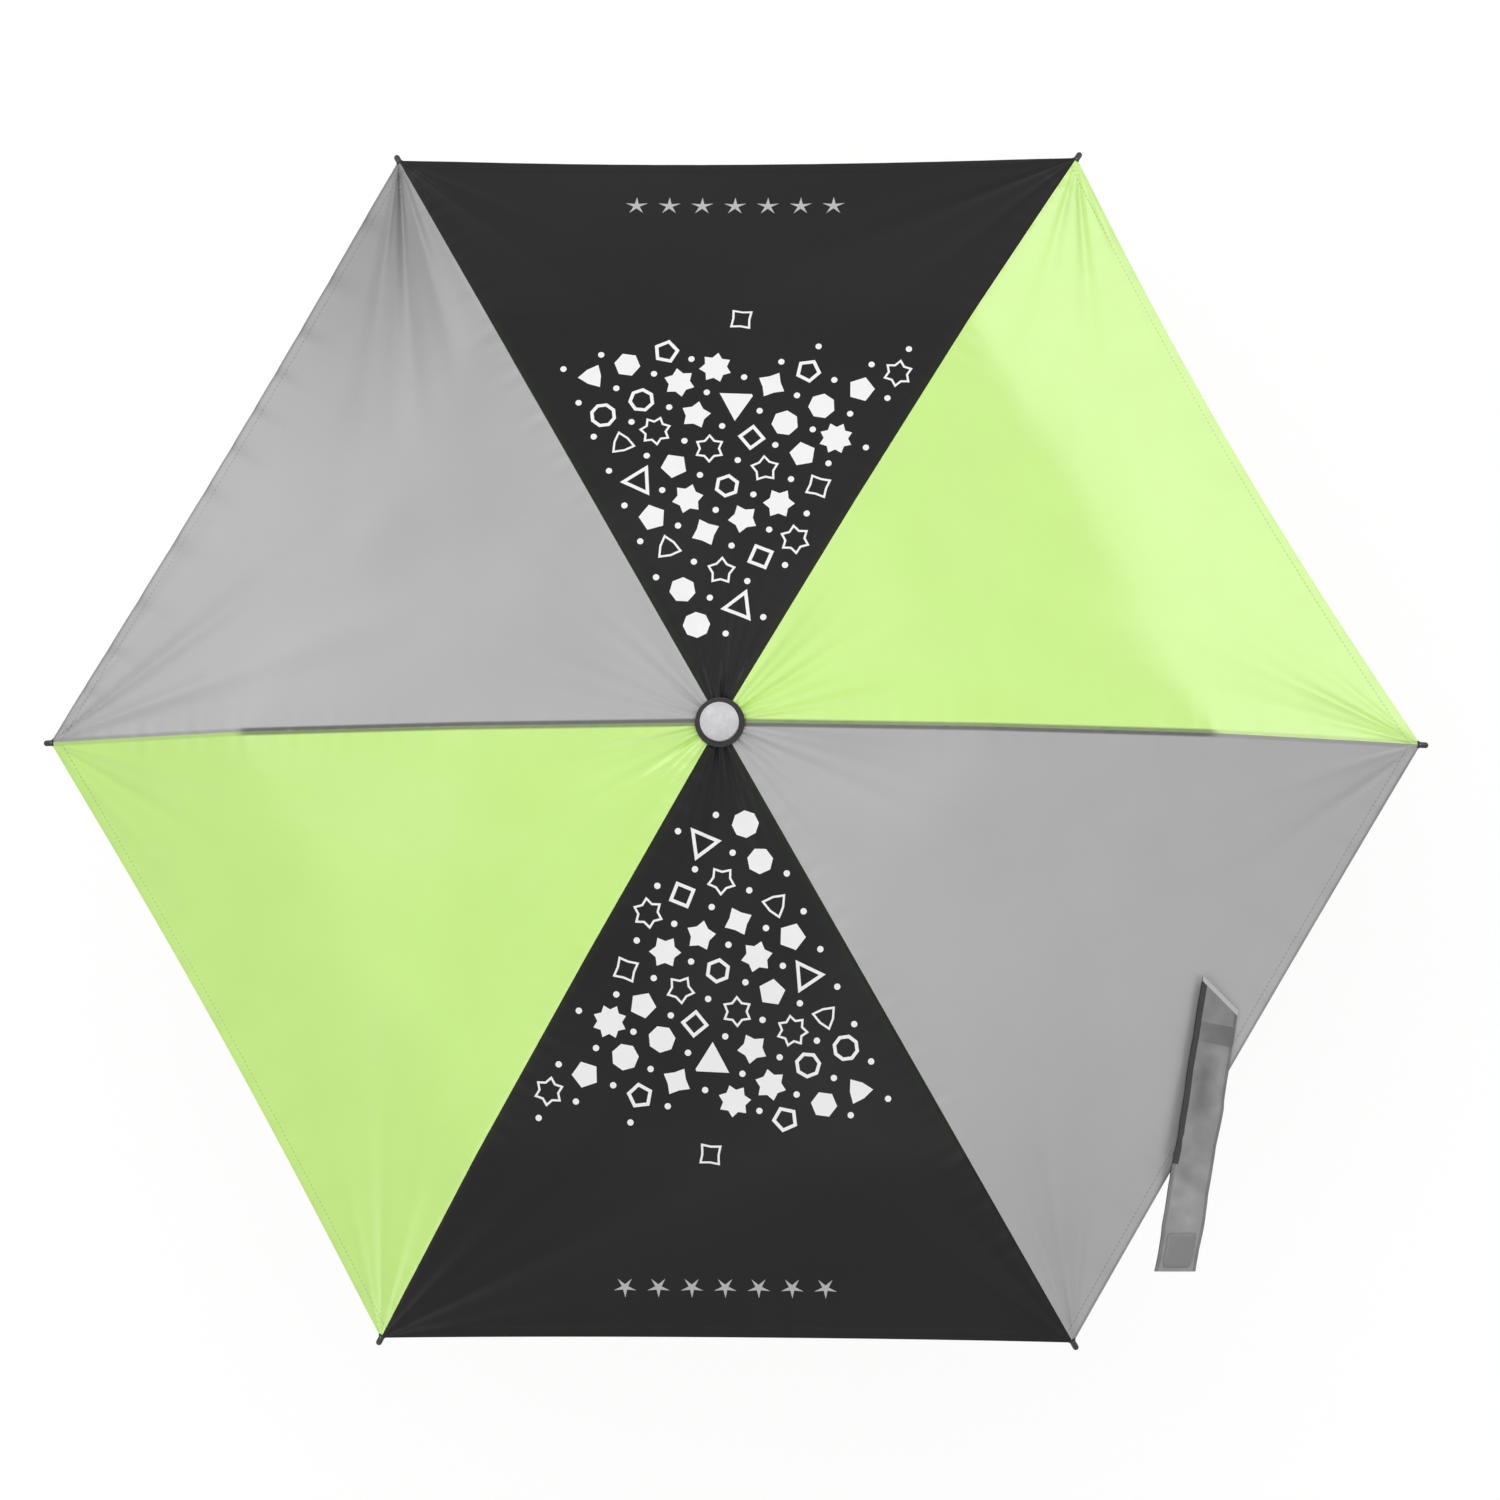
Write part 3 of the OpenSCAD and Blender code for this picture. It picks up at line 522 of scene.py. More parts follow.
def layered(tree, base, tone, *layers):
    """A surface's colour: its base times its tone, and over that the layers, each a mask and a colour."""
    links = {"Factor": 1.0, "A": base, "B": tone}
    mix = put(tree, "ShaderNodeMix", links, data_type="RGBA", blend_type="MULTIPLY")
    for mask, over in layers:
        links = {"Factor": mask, "A": mix.outputs["Result"], "B": over}
        mix = put(tree, "ShaderNodeMix", links, data_type="RGBA")
    return mix.outputs["Result"]


def cloth_values(tree, blotch, *marks):
    """What a cloth's finish reads: its map in metres, and by name its three marks, its painted shading
    and a noise with blotches of a size in metres."""
    uv = put(tree, "ShaderNodeUVMap", uv_map="cloth").outputs[0]
    vector = put(tree, "ShaderNodeAttribute", attribute_name="cloth_marks").outputs["Vector"]
    known = dict(zip(marks, put(tree, "ShaderNodeSeparateXYZ", {0: vector}).outputs))
    known["painted_shading"] = put(tree, "ShaderNodeAttribute", attribute_name="painted_cloth_shading").outputs["Fac"]
    blotches = put(tree, "ShaderNodeTexNoise", {"Vector": uv, "Scale": 1 / blotch, "Detail": 3.0})
    known["noise"] = blotches.outputs[0]
    return uv, known


def weave_bump(tree, place, depth):
    """Bump of a plain weave: two sets of bands across each other, as threads over and under. Its
    threads, 0.15 mm apart, are drawn at 1 mm so that they show. A Wave texture draws 20 radians for
    each unit, which gives its scale."""
    pitch = 0.001
    wave = {"Vector": place, "Scale": math.tau / 20 / pitch, "Distortion": 0.4}
    bands = [put(tree, "ShaderNodeTexWave", wave, bands_direction=way).outputs["Fac"] for way in "XY"]
    threads = put(tree, "ShaderNodeMath", dict(enumerate(bands)), operation="MULTIPLY").outputs[0]
    return put(tree, "ShaderNodeBump", {"Height": threads, "Strength": 0.35, "Distance": depth}).outputs[0]


def pointed(name, x, y, heading, wedge, sharp):
    """Steps of r (cos g + s |sin g|) round the middle of a shape: r is the distance, g the angle from
    the nearest of its points, which stand a wedge apart, and s is how sharp they are."""
    xx, rr, r, half, within, g, cos, sin, tilt, bend = (f"{name}_{n}" for n in range(10))
    return [
        (xx, "MULTIPLY", x, x), (rr, "MULTIPLY_ADD", y, y, xx), (r, "SQRT", rr),
        (half, "MULTIPLY", wedge, 0.5), (within, "FLOORED_MODULO", heading, wedge),
        (g, "SUBTRACT", within, half),
        (cos, "COSINE", g), (sin, "SINE", g), (tilt, "ABSOLUTE", sin),
        (bend, "MULTIPLY_ADD", tilt, sharp, cos), (name, "MULTIPLY", r, bend),
    ]


def inside_seams(name, x, up, margin):
    """Steps that tell whether a place in a panel lies more than a margin inside its seams."""
    aside, rise, deep = (f"{name}_{n}" for n in range(3))
    return [
        (aside, "ABSOLUTE", x), (rise, "MULTIPLY", up, SIN_HALF),
        (deep, "MULTIPLY_ADD", aside, -COS_HALF, rise), (name, "GREATER_THAN", deep, margin),
    ]


def printed_motifs(tree, coordinates, hem):
    """Mask of the white print: one small plain shape in each square of a turned grid, thinning out
    towards the hem, a dot at the squares' corners, and a row of small stars near the hem. A shape is
    where the product in pointed is below its size: a sharpness of 0 gives a polygon and a large one
    a star, and an outline is the band beside the edge."""
    cell = 0.0255
    turn = math.radians(24)
    jitter = 0.16
    fewest_points, more_points = 3, 5.9
    star_share, star_sharp = 0.48, 1.25
    shape_size, star_growth, size_spread = 0.235, 0.11, 0.08
    outline_share, outline_inset, outline_half = 0.52, 0.045, 0.042
    seam_margin, dot_margin = 0.0175, 0.009
    band_end, thinning, dots_short = 0.285, 16, 0.035
    dot_area = 0.006
    star_cell, star_row, star_count = 0.021, 0.036, 7
    star_size, star_hollow, star_white = 0.1, -0.9, 0.55
    star_wedge = math.tau / 5
    turned = put(tree, "ShaderNodeMapping", {
        "Vector": coordinates, "Rotation": (0, 0, turn), "Scale": (1 / cell,) * 3}).outputs[0]
    places = put(tree, "ShaderNodeSeparateXYZ", {0: turned}).outputs
    square = put(tree, "ShaderNodeVectorMath", {0: turned}, operation="FLOOR").outputs[0]
    chance = put(tree, "ShaderNodeTexWhiteNoise", {"Vector": square}, noise_dimensions="2D").outputs
    chances = put(tree, "ShaderNodeSeparateColor", {0: chance["Color"]}).outputs
    known = {
        "px": places[0], "py": places[1], "hem": hem,
        "wide": put(tree, "ShaderNodeSeparateXYZ", {0: coordinates}).outputs[0],
        "one": chances[0], "two": chances[1], "three": chances[2], "four": chance["Value"],
    }
    # Places in the panel of the nearest middle of a square and of the nearest corner
    for name, nearest, shift in (("motif", 0.0, 0.5), ("dot", 0.5, 0.0)):
        moved = put(tree, "ShaderNodeVectorMath", {0: turned, 1: (nearest,) * 3}, operation="ADD")
        whole = put(tree, "ShaderNodeVectorMath", {0: moved.outputs[0]}, operation="FLOOR")
        middle = put(tree, "ShaderNodeVectorMath", {0: whole.outputs[0], 1: (shift,) * 3}, operation="ADD")
        back = {"Vector": middle.outputs[0], "Rotation": (0, 0, -turn), "Scale": (cell,) * 3}
        flat = put(tree, "ShaderNodeMapping", back).outputs[0]
        known[f"{name}_x"], known[f"{name}_up"], _ = put(tree, "ShaderNodeSeparateXYZ", {0: flat}).outputs
    steps = [
        # Shapes of 3 to 8 points, each shifted and turned at random
        ("fx", "FRACT", "px"), ("sx", "MULTIPLY_ADD", "one", jitter, 0.5 - jitter / 2),
        ("fy", "FRACT", "py"), ("sy", "MULTIPLY_ADD", "two", jitter, 0.5 - jitter / 2),
        ("x", "SUBTRACT", "fx", "sx"), ("y", "SUBTRACT", "fy", "sy"),
        ("many", "MULTIPLY_ADD", "one", more_points, fewest_points), ("points", "FLOOR", "many"),
        ("wedge", "DIVIDE", math.tau, "points"), ("way", "ARCTAN2", "y", "x"),
        ("heading", "MULTIPLY_ADD", "three", math.tau, "way"),
        ("starry", "GREATER_THAN", "two", 1 - star_share), ("sharp", "MULTIPLY", "starry", star_sharp),
        *pointed("reach", "x", "y", "heading", "wedge", "sharp"),
        # Some of them as outlines
        ("grown", "MULTIPLY_ADD", "starry", star_growth, shape_size),
        ("size", "MULTIPLY_ADD", "four", size_spread, "grown"), ("gap", "SUBTRACT", "reach", "size"),
        ("inset", "ADD", "gap", outline_inset), ("rim", "ABSOLUTE", "inset"),
        ("line", "SUBTRACT", "rim", outline_half), ("change", "SUBTRACT", "line", "gap"),
        ("open", "GREATER_THAN", "three", 1 - outline_share),
        ("edge", "MULTIPLY_ADD", "change", "open", "gap"), ("drawn", "LESS_THAN", "edge", 0),
        # Thinned out towards the end of the band, with each shape's middle well inside the seams
        ("left", "SUBTRACT", band_end, "motif_up"), ("odds", "MULTIPLY", "left", thinning),
        ("kept", "LESS_THAN", "four", "odds"), ("shown", "MULTIPLY", "drawn", "kept"),
        *inside_seams("clear", "motif_x", "motif_up", seam_margin), ("motifs", "MULTIPLY", "shown", "clear"),
        # Dots where four squares meet
        ("cx", "WRAP", "px", 0.5, -0.5), ("cy", "WRAP", "py", 0.5, -0.5),
        ("cxx", "MULTIPLY", "cx", "cx"), ("crr", "MULTIPLY_ADD", "cy", "cy", "cxx"),
        ("dot", "LESS_THAN", "crr", dot_area), ("near", "LESS_THAN", "dot_up", band_end - dots_short),
        ("dotted", "MULTIPLY", "dot", "near"),
        *inside_seams("free", "dot_x", "dot_up", dot_margin), ("dots", "MULTIPLY", "dotted", "free"),
        # A row of five-pointed stars near the hem
        ("cells", "DIVIDE", "wide", star_cell), ("hx", "WRAP", "cells", 0.5, -0.5),
        ("down", "SUBTRACT", star_row, "hem"), ("hy", "DIVIDE", "down", star_cell),
        ("toward", "ARCTAN2", "hx", "hy"), *pointed("tine", "hx", "hy", "toward", star_wedge, star_hollow),
        ("star", "LESS_THAN", "tine", star_size), ("aside", "ABSOLUTE", "wide"),
        ("row", "LESS_THAN", "aside", star_count / 2 * star_cell), ("stars", "MULTIPLY", "star", "row"),
        ("faint", "MULTIPLY", "stars", star_white),
        ("both", "MAXIMUM", "motifs", "dots"), ("mask", "MAXIMUM", "both", "faint"),
    ]
    return work_out(tree, known, steps)["mask"]


# Between these values lies nearly all of a noise
NOISE_SPAN = (0.3, 0.7)
# The cloths: gloss, painted shade of the turned hem, and the setting for the dark line beside the seams,
# which is the rib's painted shadow on pale cloth and painted shade on black
CLOTHS = {
    "green": (1.0, 0.05, "rib_shadow"),
    "grey": (0.45, 0.38, "rib_shadow"),
    "black": (0.14, 0.0, "seam_shade"),
}
# The sewn box of the strap: place of its middle along the strap, and half its length
BOX_AT = 0.034
BOX_HALF = 0.0062


def woven_polyester(name, shade, settings, printed=False):
    """Plain woven polyester, dyed and coated: a soft even tone with a broad sheen towards the light.
    Beside a seam the dark rib shows through the thin cloth as a painted shadow, and a black panel has a
    strip of painted shade. The hem has a row of stitches and painted shade on its turned edge, and
    painted shade darkens the cloth in its folds and dents."""
    blotch, palest, darkest = 0.045, 1.015, 0.985
    rib_dark, rib_blur = 0.74, 0.0006
    stitch, stitch_share, stitch_dark, thread_half = 0.003, 0.65, 0.3, 0.0004
    turned_from, turned_to = 0.0025, 0.001
    gloss, hem_edge_shade, seam_line = CLOTHS[shade]
    base = getattr(settings, shade)
    width = getattr(settings, seam_line)
    finish, tree, shader = new_finish(
        name, base, 0.34, Sheen_Weight=0.08, Sheen_Roughness=0.5, Specular_IOR_Level=gloss)
    uv, known = cloth_values(tree, blotch, "seam", "hem", "rib")
    known["wide"] = put(tree, "ShaderNodeSeparateXYZ", {0: uv}).outputs[0]
    work_out(tree, known, [
        # Random tone, times the painted shade of folds and dents
        ("even", "RANGE", "noise", *NOISE_SPAN, darkest, palest), ("tone", "MULTIPLY", "even", "painted_shading"),
        # Painted shadow of the rib under the cloth, or painted shade in the strip beside a black panel's seam
        ("line", "RANGE", "seam", width + rib_blur, width - rib_blur, 0.0, rib_dark),
        ("shows", "MULTIPLY", "line", "rib"),
        # The hem's stitches, and painted shade on its turned edge
        ("row", "COMPARE", "hem", settings.hem_fold, thread_half), ("place", "WRAP", "wide", stitch, 0.0),
        ("dash", "LESS_THAN", "place", stitch_share * stitch), ("thread", "MULTIPLY", "row", "dash"),
        ("sewn", "MULTIPLY", "thread", stitch_dark),
        ("turned", "RANGE", "hem", turned_from, turned_to, 0.0, hem_edge_shade),
        ("darker", "MAXIMUM", "shows", "sewn"), ("dark", "MAXIMUM", "darker", "turned"),
    ])
    # One dark colour over the painted rib shadow, the painted shade beside seams and on the hem, and the real
    # stitches
    layers = [(known["dark"], linear("#1E2218"))]
    if printed:
        layers.insert(0, (printed_motifs(tree, uv, known["hem"]), settings.white))
    tree.links.new(layered(tree, base, known["tone"], *layers), shader.inputs["Base Color"])
    tree.links.new(weave_bump(tree, uv, 0.00005), shader.inputs["Normal"])
    return finish


def doubled_polyester(name, base, trim):
    """Two layers of the canopy's cloth, turned and sewn: creased, with painted shade and highlight on the
    creases, paler towards the loose end, with a dark border along each edge, a sewn box that is darker
    on its right, a painted highlight along the fold at the sewn end and a painted shadow along the left
    edge. All of it reads the strap's own map and marks, in metres."""
    blotch, mottle, mottle_from = 0.014, 0.7, 0.55
    paling_rate, paling_most = 2.1, 0.33
    border, border_dark = 0.0021, 0.34
    box_dark, box_slope = 0.3, 14
    # Painted shadow along the left edge: its width, the length it runs, and its darkness
    shaded_width, shaded_length, shaded_dark = 0.0035, 0.118, 0.93
    fold_highlight_width = 0.0032
    half = trim.strap_width / 2
    finish, tree, shader = new_finish(name, base, 0.75, Sheen_Weight=0.12, Specular_IOR_Level=0.28)
    uv, known = cloth_values(tree, blotch, "fold", "along", "across")
    work_out(tree, known, [
        # Mottled at random, and paler towards the loose end
        ("mottled", "MULTIPLY_ADD", "noise", mottle, mottle_from), ("down", "MULTIPLY", "along", paling_rate),
        ("paled", "MINIMUM", "down", paling_most), ("even", "ADD", "mottled", "paled"),
        # Times the painted shade and highlight of the creases
        ("tone", "MULTIPLY", "even", "painted_shading"),
        # The borders
        ("aside", "ABSOLUTE", "across"), ("edge", "SUBTRACT", half, "aside"),
        ("border", "LESS_THAN", "edge", border), ("borders", "MULTIPLY", "border", border_dark),
        # The sewn box
        ("box", "COMPARE", "along", BOX_AT, BOX_HALF),
        ("right", "MULTIPLY_ADD", "across", box_slope, box_dark), ("sewn", "MULTIPLY", "box", "right"),
        # A painted shadow along the left edge, on its upper part
        ("left", "LESS_THAN", "across", shaded_width - half), ("upper", "LESS_THAN", "along", shaded_length),
        ("turned", "MULTIPLY", "left", "upper"), ("under", "MULTIPLY", "turned", shaded_dark),
        ("darker", "MAXIMUM", "borders", "sewn"), ("dark", "MAXIMUM", "darker", "under"),
        # A painted highlight along the fold at the sewn end
        ("pale", "LESS_THAN", "fold", fold_highlight_width),
    ])
    # Dark grey over the borders, the sewn box and the painted shadow, then pale grey for the painted
    # highlight
    layers = [(known["dark"], linear("#333333")), (known["pale"], linear("#BDBDBD"))]
    tree.links.new(layered(tree, base, known["tone"], *layers), shader.inputs["Base Color"])
    tree.links.new(weave_bump(tree, uv, 0.0001), shader.inputs["Normal"])
    return finish


def vary(tree, shader, base, grain, rough, tone):
    """Lets a noise shift a shader's roughness and the tone of its colour, each between two values."""
    known = work_out(tree, {"grain": grain}, [
        ("rough", "RANGE", "grain", *NOISE_SPAN, *rough), ("tone", "RANGE", "grain", *NOISE_SPAN, *tone)])
    tree.links.new(known["rough"], shader.inputs["Roughness"])
    tree.links.new(layered(tree, base, known["tone"]), shader.inputs["Base Color"])


def grained_finish(name, base, roughness, size, depth, **constants):
    """A moulded or plated surface with an even fine grain: the grain bumps the normal and shifts the
    roughness and the tone a little."""
    rough_spread, tones, strength = 0.06, (0.93, 1.06), 0.4
    finish, tree, shader = new_finish(name, base, roughness, **constants)
    place = put(tree, "ShaderNodeTexCoord").outputs["Object"]
    grain = put(tree, "ShaderNodeTexNoise", {"Vector": place, "Scale": 1 / size, "Detail": 4.0}).outputs[0]
    vary(tree, shader, base, grain, (roughness - rough_spread, roughness + rough_spread), tones)
    bump = put(tree, "ShaderNodeBump", {"Height": grain, "Strength": strength, "Distance": depth})
    tree.links.new(bump.outputs[0], shader.inputs["Normal"])
    return finish


def drawn_steel(name, base, roughness, stretch):
    """Steel drawn or rolled along its length: bright metal with fine lines along the piece, which
    spread its reflections. The lines are noise squeezed across the stretch."""
    size, smoothest, roughest, tones = 0.0012, 0.7, 1.4, (0.9, 1.05)
    finish, tree, shader = new_finish(name, base, roughness, Metallic=1.0)
    place = put(tree, "ShaderNodeTexCoord").outputs["Object"]
    squeezed = put(tree, "ShaderNodeMapping", {"Vector": place, "Scale": stretch}).outputs[0]
    lines = put(tree, "ShaderNodeTexNoise", {"Vector": squeezed, "Scale": 1 / size, "Detail": 4.0}).outputs[0]
    vary(tree, shader, base, lines, (smoothest * roughness, roughest * roughness), tones)
    return finish


def dress(nodes, finish):
    """Gives CAD nodes a finish."""
    for name in nodes:
        materials = frame["nodes"][name].data.materials
        materials.clear()
        materials.append(finish)


def each_rib(*kinds):
    """Names of these kinds of node on every rib."""
    return [f"{kind}_{rib}" for kind in kinds for rib in range(1, RIBS + 1)]


# The canopy's pieces: each half panel is cut square to its rib at the rib's two joints, so that
# each of its three sections folds with its own rib section
SECTIONS = ("crown", "middle", "hem")
SECTION_BODIES = ("top_rib", "middle_rib", "outer_rib")
SECTION_ROWS = (52, 48, 46)
COLUMNS = 72
HEM_SECTION = 2
# Powers that crowd the columns towards the rib and the last section's rows towards the hem
COLUMN_POWER = 1.5
ROW_POWER = 1.4
# The colour of each panel's cloth
PANEL_COLOURS = ("green", "black", "grey", "green", "black", "grey")
# The ribs whose painted shadow shows through the cloth, because both panels beside them are pale
MARKED_RIBS = (1, 4)
# How faintly a rib's painted shadow shows past its outer joint, and how soon
RIB_FAINT = 0.3
RIB_FADE = 0.003


def half_panel(section, hem_curve, settings):
    """Plan of one section of a half panel in its rib's frame, as grids of x and y: rows run from
    the section's inner end, square to the rib, to its outer end or to the hem, and columns from
    the rib to the panel's middle, closer together near the rib."""
    cuts = (settings.hole, KNEE_R, TAIL_R)
    across = np.linspace(0, 1, COLUMNS) ** COLUMN_POWER
    along = np.linspace(0, 1, SECTION_ROWS[section])[:, None]
    start_x = np.full_like(across, cuts[section])
    start_y = cuts[section] * TAN_HALF * across
    if section < HEM_SECTION:
        end_x = np.full_like(across, cuts[section + 1])
        end_y = cuts[section + 1] * TAN_HALF * across
    else:
        along = 1 - (1 - along) ** ROW_POWER
        bow = across * (2 - across)
        out = HEM_R * COS_HALF - hem_curve * bow
        aside = HEM_R * SIN_HALF * (1 - across)
        end_x = out * COS_HALF + aside * SIN_HALF
        end_y = out * SIN_HALF - aside * COS_HALF
    return start_x + (end_x - start_x) * along, start_y + (end_y - start_y) * along


def fold_in(piece, points):
    """Gives a piece a mesh of its own.
    The points are not used."""
    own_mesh(piece)


class UMBRELLA_OT_canopy(bpy.types.Operator):
    """Make the canopy: six panels of stretched cloth in sections that fold with the ribs"""

    bl_idname = "umbrella.canopy"
    bl_label = "Canopy"

    def execute(self, context):
        settings = context.scene.umbrella_canopy
        finishes = {shade: [woven_polyester(f"woven_polyester_{shade}", shade, settings)] for shade in CLOTHS}
        printed = woven_polyester("printed_polyester_black", "black", settings, printed=True)
        finishes["black"].insert(0, printed)
        for rib in range(1, RIBS + 1):
            for side in (1, -1):
                for section in range(len(SECTIONS)):
                    self.add_section(rib, side, section, settings, finishes)
        return {"FINISHED"}

    def add_section(self, rib, side, section, settings, finishes):
        """Adds one section of a half panel, with its map in metres, its distances from the seam and the
        hem, how strongly the rib's painted shadow shows, which is less past its outer joint, and its
        painted shading."""
        panel = panel_number(rib, side)
        hem_curve = settings.hem_curves[panel - 1]
        x, y = half_panel(section, hem_curve, settings)
        points, normals = cloth_points(rib, side, x, y, settings)
        distance, _, _, _, across = panel_place(side, x, y, hem_curve)
        run = np.interp(distance, LINE_R, LINE_LENGTH)
        uv = np.stack([across, run * COS_HALF], -1)
        shade = PANEL_COLOURS[panel - 1]
        marked = shade == "black" or rib in MARKED_RIBS
        shows = RIB_FAINT + (1 - RIB_FAINT) * below(distance, TAIL_R, RIB_FADE)
        marks = np.stack([y, HEM_R - distance, marked * shows], -1)
        half = "first" if side > 0 else "second"
        name = f"panel_{panel}_{half}_{SECTIONS[section]}"
        # Painted shade of the folds and dents
        tone = painted_cloth_shading(rib, side, x, y, settings)
        mesh = sheet_mesh(name, points, normals, settings.thickness, finishes[shade], uv, marks, tone)
        body = f"{SECTION_BODIES[section]}_{rib}"
        piece = add_object(name, mesh, body)
        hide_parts(f"canopy_{shade}")
        fold_in(piece, points)


STRAP_PANEL_RIB = 6
# How much lower the strap's sewn end is on its right than on its left, how much shorter its loose
# end is there, and the share of its length that the loose end's left corner reaches
SEWN_SLANT = 0.017
END_SLANT = 0.0045
END_SHARE = 0.96
# The strap's gap over the cloth, its further rise where it hangs loose, where that begins and how
# soon, the lift of its left edge, and the step of the sewn box and its width
STRAP_GAP = 0.0003
LOOSE_RISE = 0.0018
LOOSE_FROM = 0.03
LOOSE_WITHIN = 0.05
EDGE_LIFT = 0.0035
BOX_RISE = 0.0004
BOX_RISE_WIDTH = 0.0008
# Waves of the loose strap: height, and radians for a metre along and across
STRAP_WAVES = ((0.0007, math.tau / 0.071, 60), (0.0004, 1 / 0.0055, -90))
# Painted shade and highlight of the strap's creases: place along and across, half length, half width, slant
# and change of tone
STRAP_CREASES = (
    (0.045, 0.001, 0.003, 0.011, 0.0, 0.2), (0.058, 0.0085, 0.014, 0.004, -0.4, 0.24),
    (0.068, -0.0025, 0.022, 0.006, 0.1, -0.34), (0.106, 0.004, 0.009, 0.005, 0.3, -0.12),
    (0.117, 0.003, 0.004, 0.012, 0.5, 0.14), (0.125, 0.002, 0.004, 0.009, 0.5, -0.12),
    (0.138, -0.004, 0.004, 0.011, -0.5, 0.16), (0.152, 0.004, 0.011, 0.006, 0.0, 0.12))


def strap_points(along, across, rise, trim, canopy):
    """Points of the strap's panel frame turned into the row frame: along runs down the strap from
    its sewn end and across to its right, both in metres, and rise is the height over the cloth."""
    middle = STEP * (STRAP_PANEL_RIB - 1) + HALF
    heading = trim.strap_heading - middle
    start = HEM_R * COS_HALF - trim.strap_inset
    out = start + along * math.cos(heading) - across * math.sin(heading)
    aside = trim.strap_aside + along * math.sin(heading) + across * math.cos(heading)
    x = out * COS_HALF - aside * SIN_HALF
    y = out * SIN_HALF + aside * COS_HALF
    points, normals = cloth_points(STRAP_PANEL_RIB, 1, x, y, canopy)
    return points + rise[..., None] * normals


def painted_strap_shading(along, across):
    """Painted shade and highlight of the strap's creases, as the share of its colour that it shows: each
    crease is a bell curve along and across it.
    """
    tone = np.ones_like(along)
    for middle, aside, half_length, half_width, slant, shade in STRAP_CREASES:
        tone += shade * bell(along - middle - slant * across, half_length) * bell(across - aside, half_width)
    return tone


def strap_end(across, trim):
    """Distance of the strap's loose end from its sewn end, less on its right than on its left."""
    return END_SHARE * trim.strap_length - END_SLANT * (across / trim.strap_width + 0.5)


def grid_normals(points):
    """Unit normals of a grid of points, from the cross product of its two directions, upwards."""
    normals = np.cross(np.gradient(points, axis=0), np.gradient(points, axis=1))
    normals *= np.sign(normals[..., 2:3])
    return normals / np.linalg.norm(normals, axis=-1, keepdims=True)


def strap_rise(along, across, trim):
    """Height of the strap's upper side over the cloth: its thickness, slow waves that grow from the
    sewn end, a left edge that lifts, and a step where the sewn box holds one more layer."""
    loose = np.clip((along - LOOSE_FROM) / LOOSE_WITHIN, 0, 1)
    waves = sum(high * np.sin(down * along + over * across) for high, down, over in STRAP_WAVES)
    lifted = EDGE_LIFT * (0.5 - across / trim.strap_width)
    box = BOX_RISE * below(np.abs(along - BOX_AT), BOX_HALF, BOX_RISE_WIDTH)
    return trim.strap_thickness + STRAP_GAP + loose * (LOOSE_RISE + waves) + lifted + box


class UMBRELLA_OT_strap(bpy.types.Operator):
    """Make the closure strap and its hook patch"""

    bl_idname = "umbrella.strap"
    bl_label = "Closure strap"

    def execute(self, context):
        trim = context.scene.umbrella_trim
        canopy = context.scene.umbrella_canopy
        strap_cloth = doubled_polyester("doubled_polyester_grey", trim.strap, trim)
        # Nylon hook tape: a dull grey pile, rough to the eye
        hooks = grained_finish("hook_tape_nylon", trim.patch, 0.6, 0.0013, 0.0005)
        rows, columns = 120, 22
        share = np.linspace(0, 1, rows)[:, None]
        across = np.linspace(-0.5, 0.5, columns)[None, :] * trim.strap_width
        start = SEWN_SLANT * (across / trim.strap_width + 0.5)
        along = start + share * (strap_end(across, trim) - start)
        across = across + 0 * share
        points = strap_points(along, across, strap_rise(along, across, trim), trim, canopy)
        uv = np.stack([across, along], -1)
        marks = np.stack([along - start, along, across], -1)
        # Painted shade and highlight of the creases
        tone = painted_strap_shading(along, across)
        mesh = sheet_mesh(
            "strap_band", points, grid_normals(points), trim.strap_thickness, [strap_cloth], uv, marks, tone)
        band = self.add_piece("strap_band", mesh, canopy)
        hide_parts("closure_strap")
        self.add_patch(trim, canopy, hooks)
        return {"FINISHED"}

    def add_patch(self, trim, canopy, hooks):
        """The hook patch: a pad on the strap's end, whose corners draw in with the eighth power and
        whose pile falls to its rim with the twelfth."""
        points_across = 25
        corner_power, pile_power = 8, 12
        inset = 0.0025
        draw_in = 0.1
        seat = 0.0004
        pile = 0.0012
        backing = 0.0003
        side = np.linspace(-1, 1, points_across)
        u, v = side[:, None], side[None, :]
        across = v * (1 - draw_in * u**corner_power) * trim.patch_width / 2
        middle = strap_end(across, trim) - trim.patch_length / 2 - inset
        along = middle + u * (1 - draw_in * v**corner_power) * trim.patch_length / 2
        crown = pile * (1 - np.maximum(np.abs(u), np.abs(v)) ** pile_power)
        points = strap_points(along, across, strap_rise(along, across, trim) + seat + crown, trim, canopy)
        uv = np.stack([across, along], -1)
        mesh = sheet_mesh("hook_patch", points, grid_normals(points), backing, [hooks], uv)
        self.add_piece("hook_patch", mesh, canopy)

    def add_piece(self, name, mesh, canopy):
        """Adds a piece of the strap, which rides on the outer rib that carries it."""
        piece = add_object(name, mesh, f"outer_rib_{STRAP_PANEL_RIB}")
        x, y = half_panel(HEM_SECTION, canopy.hem_curves[STRAP_PANEL_RIB - 1], canopy)
        fold_in(piece, cloth_points(STRAP_PANEL_RIB, 1, x, y, canopy)[0])
        return piece


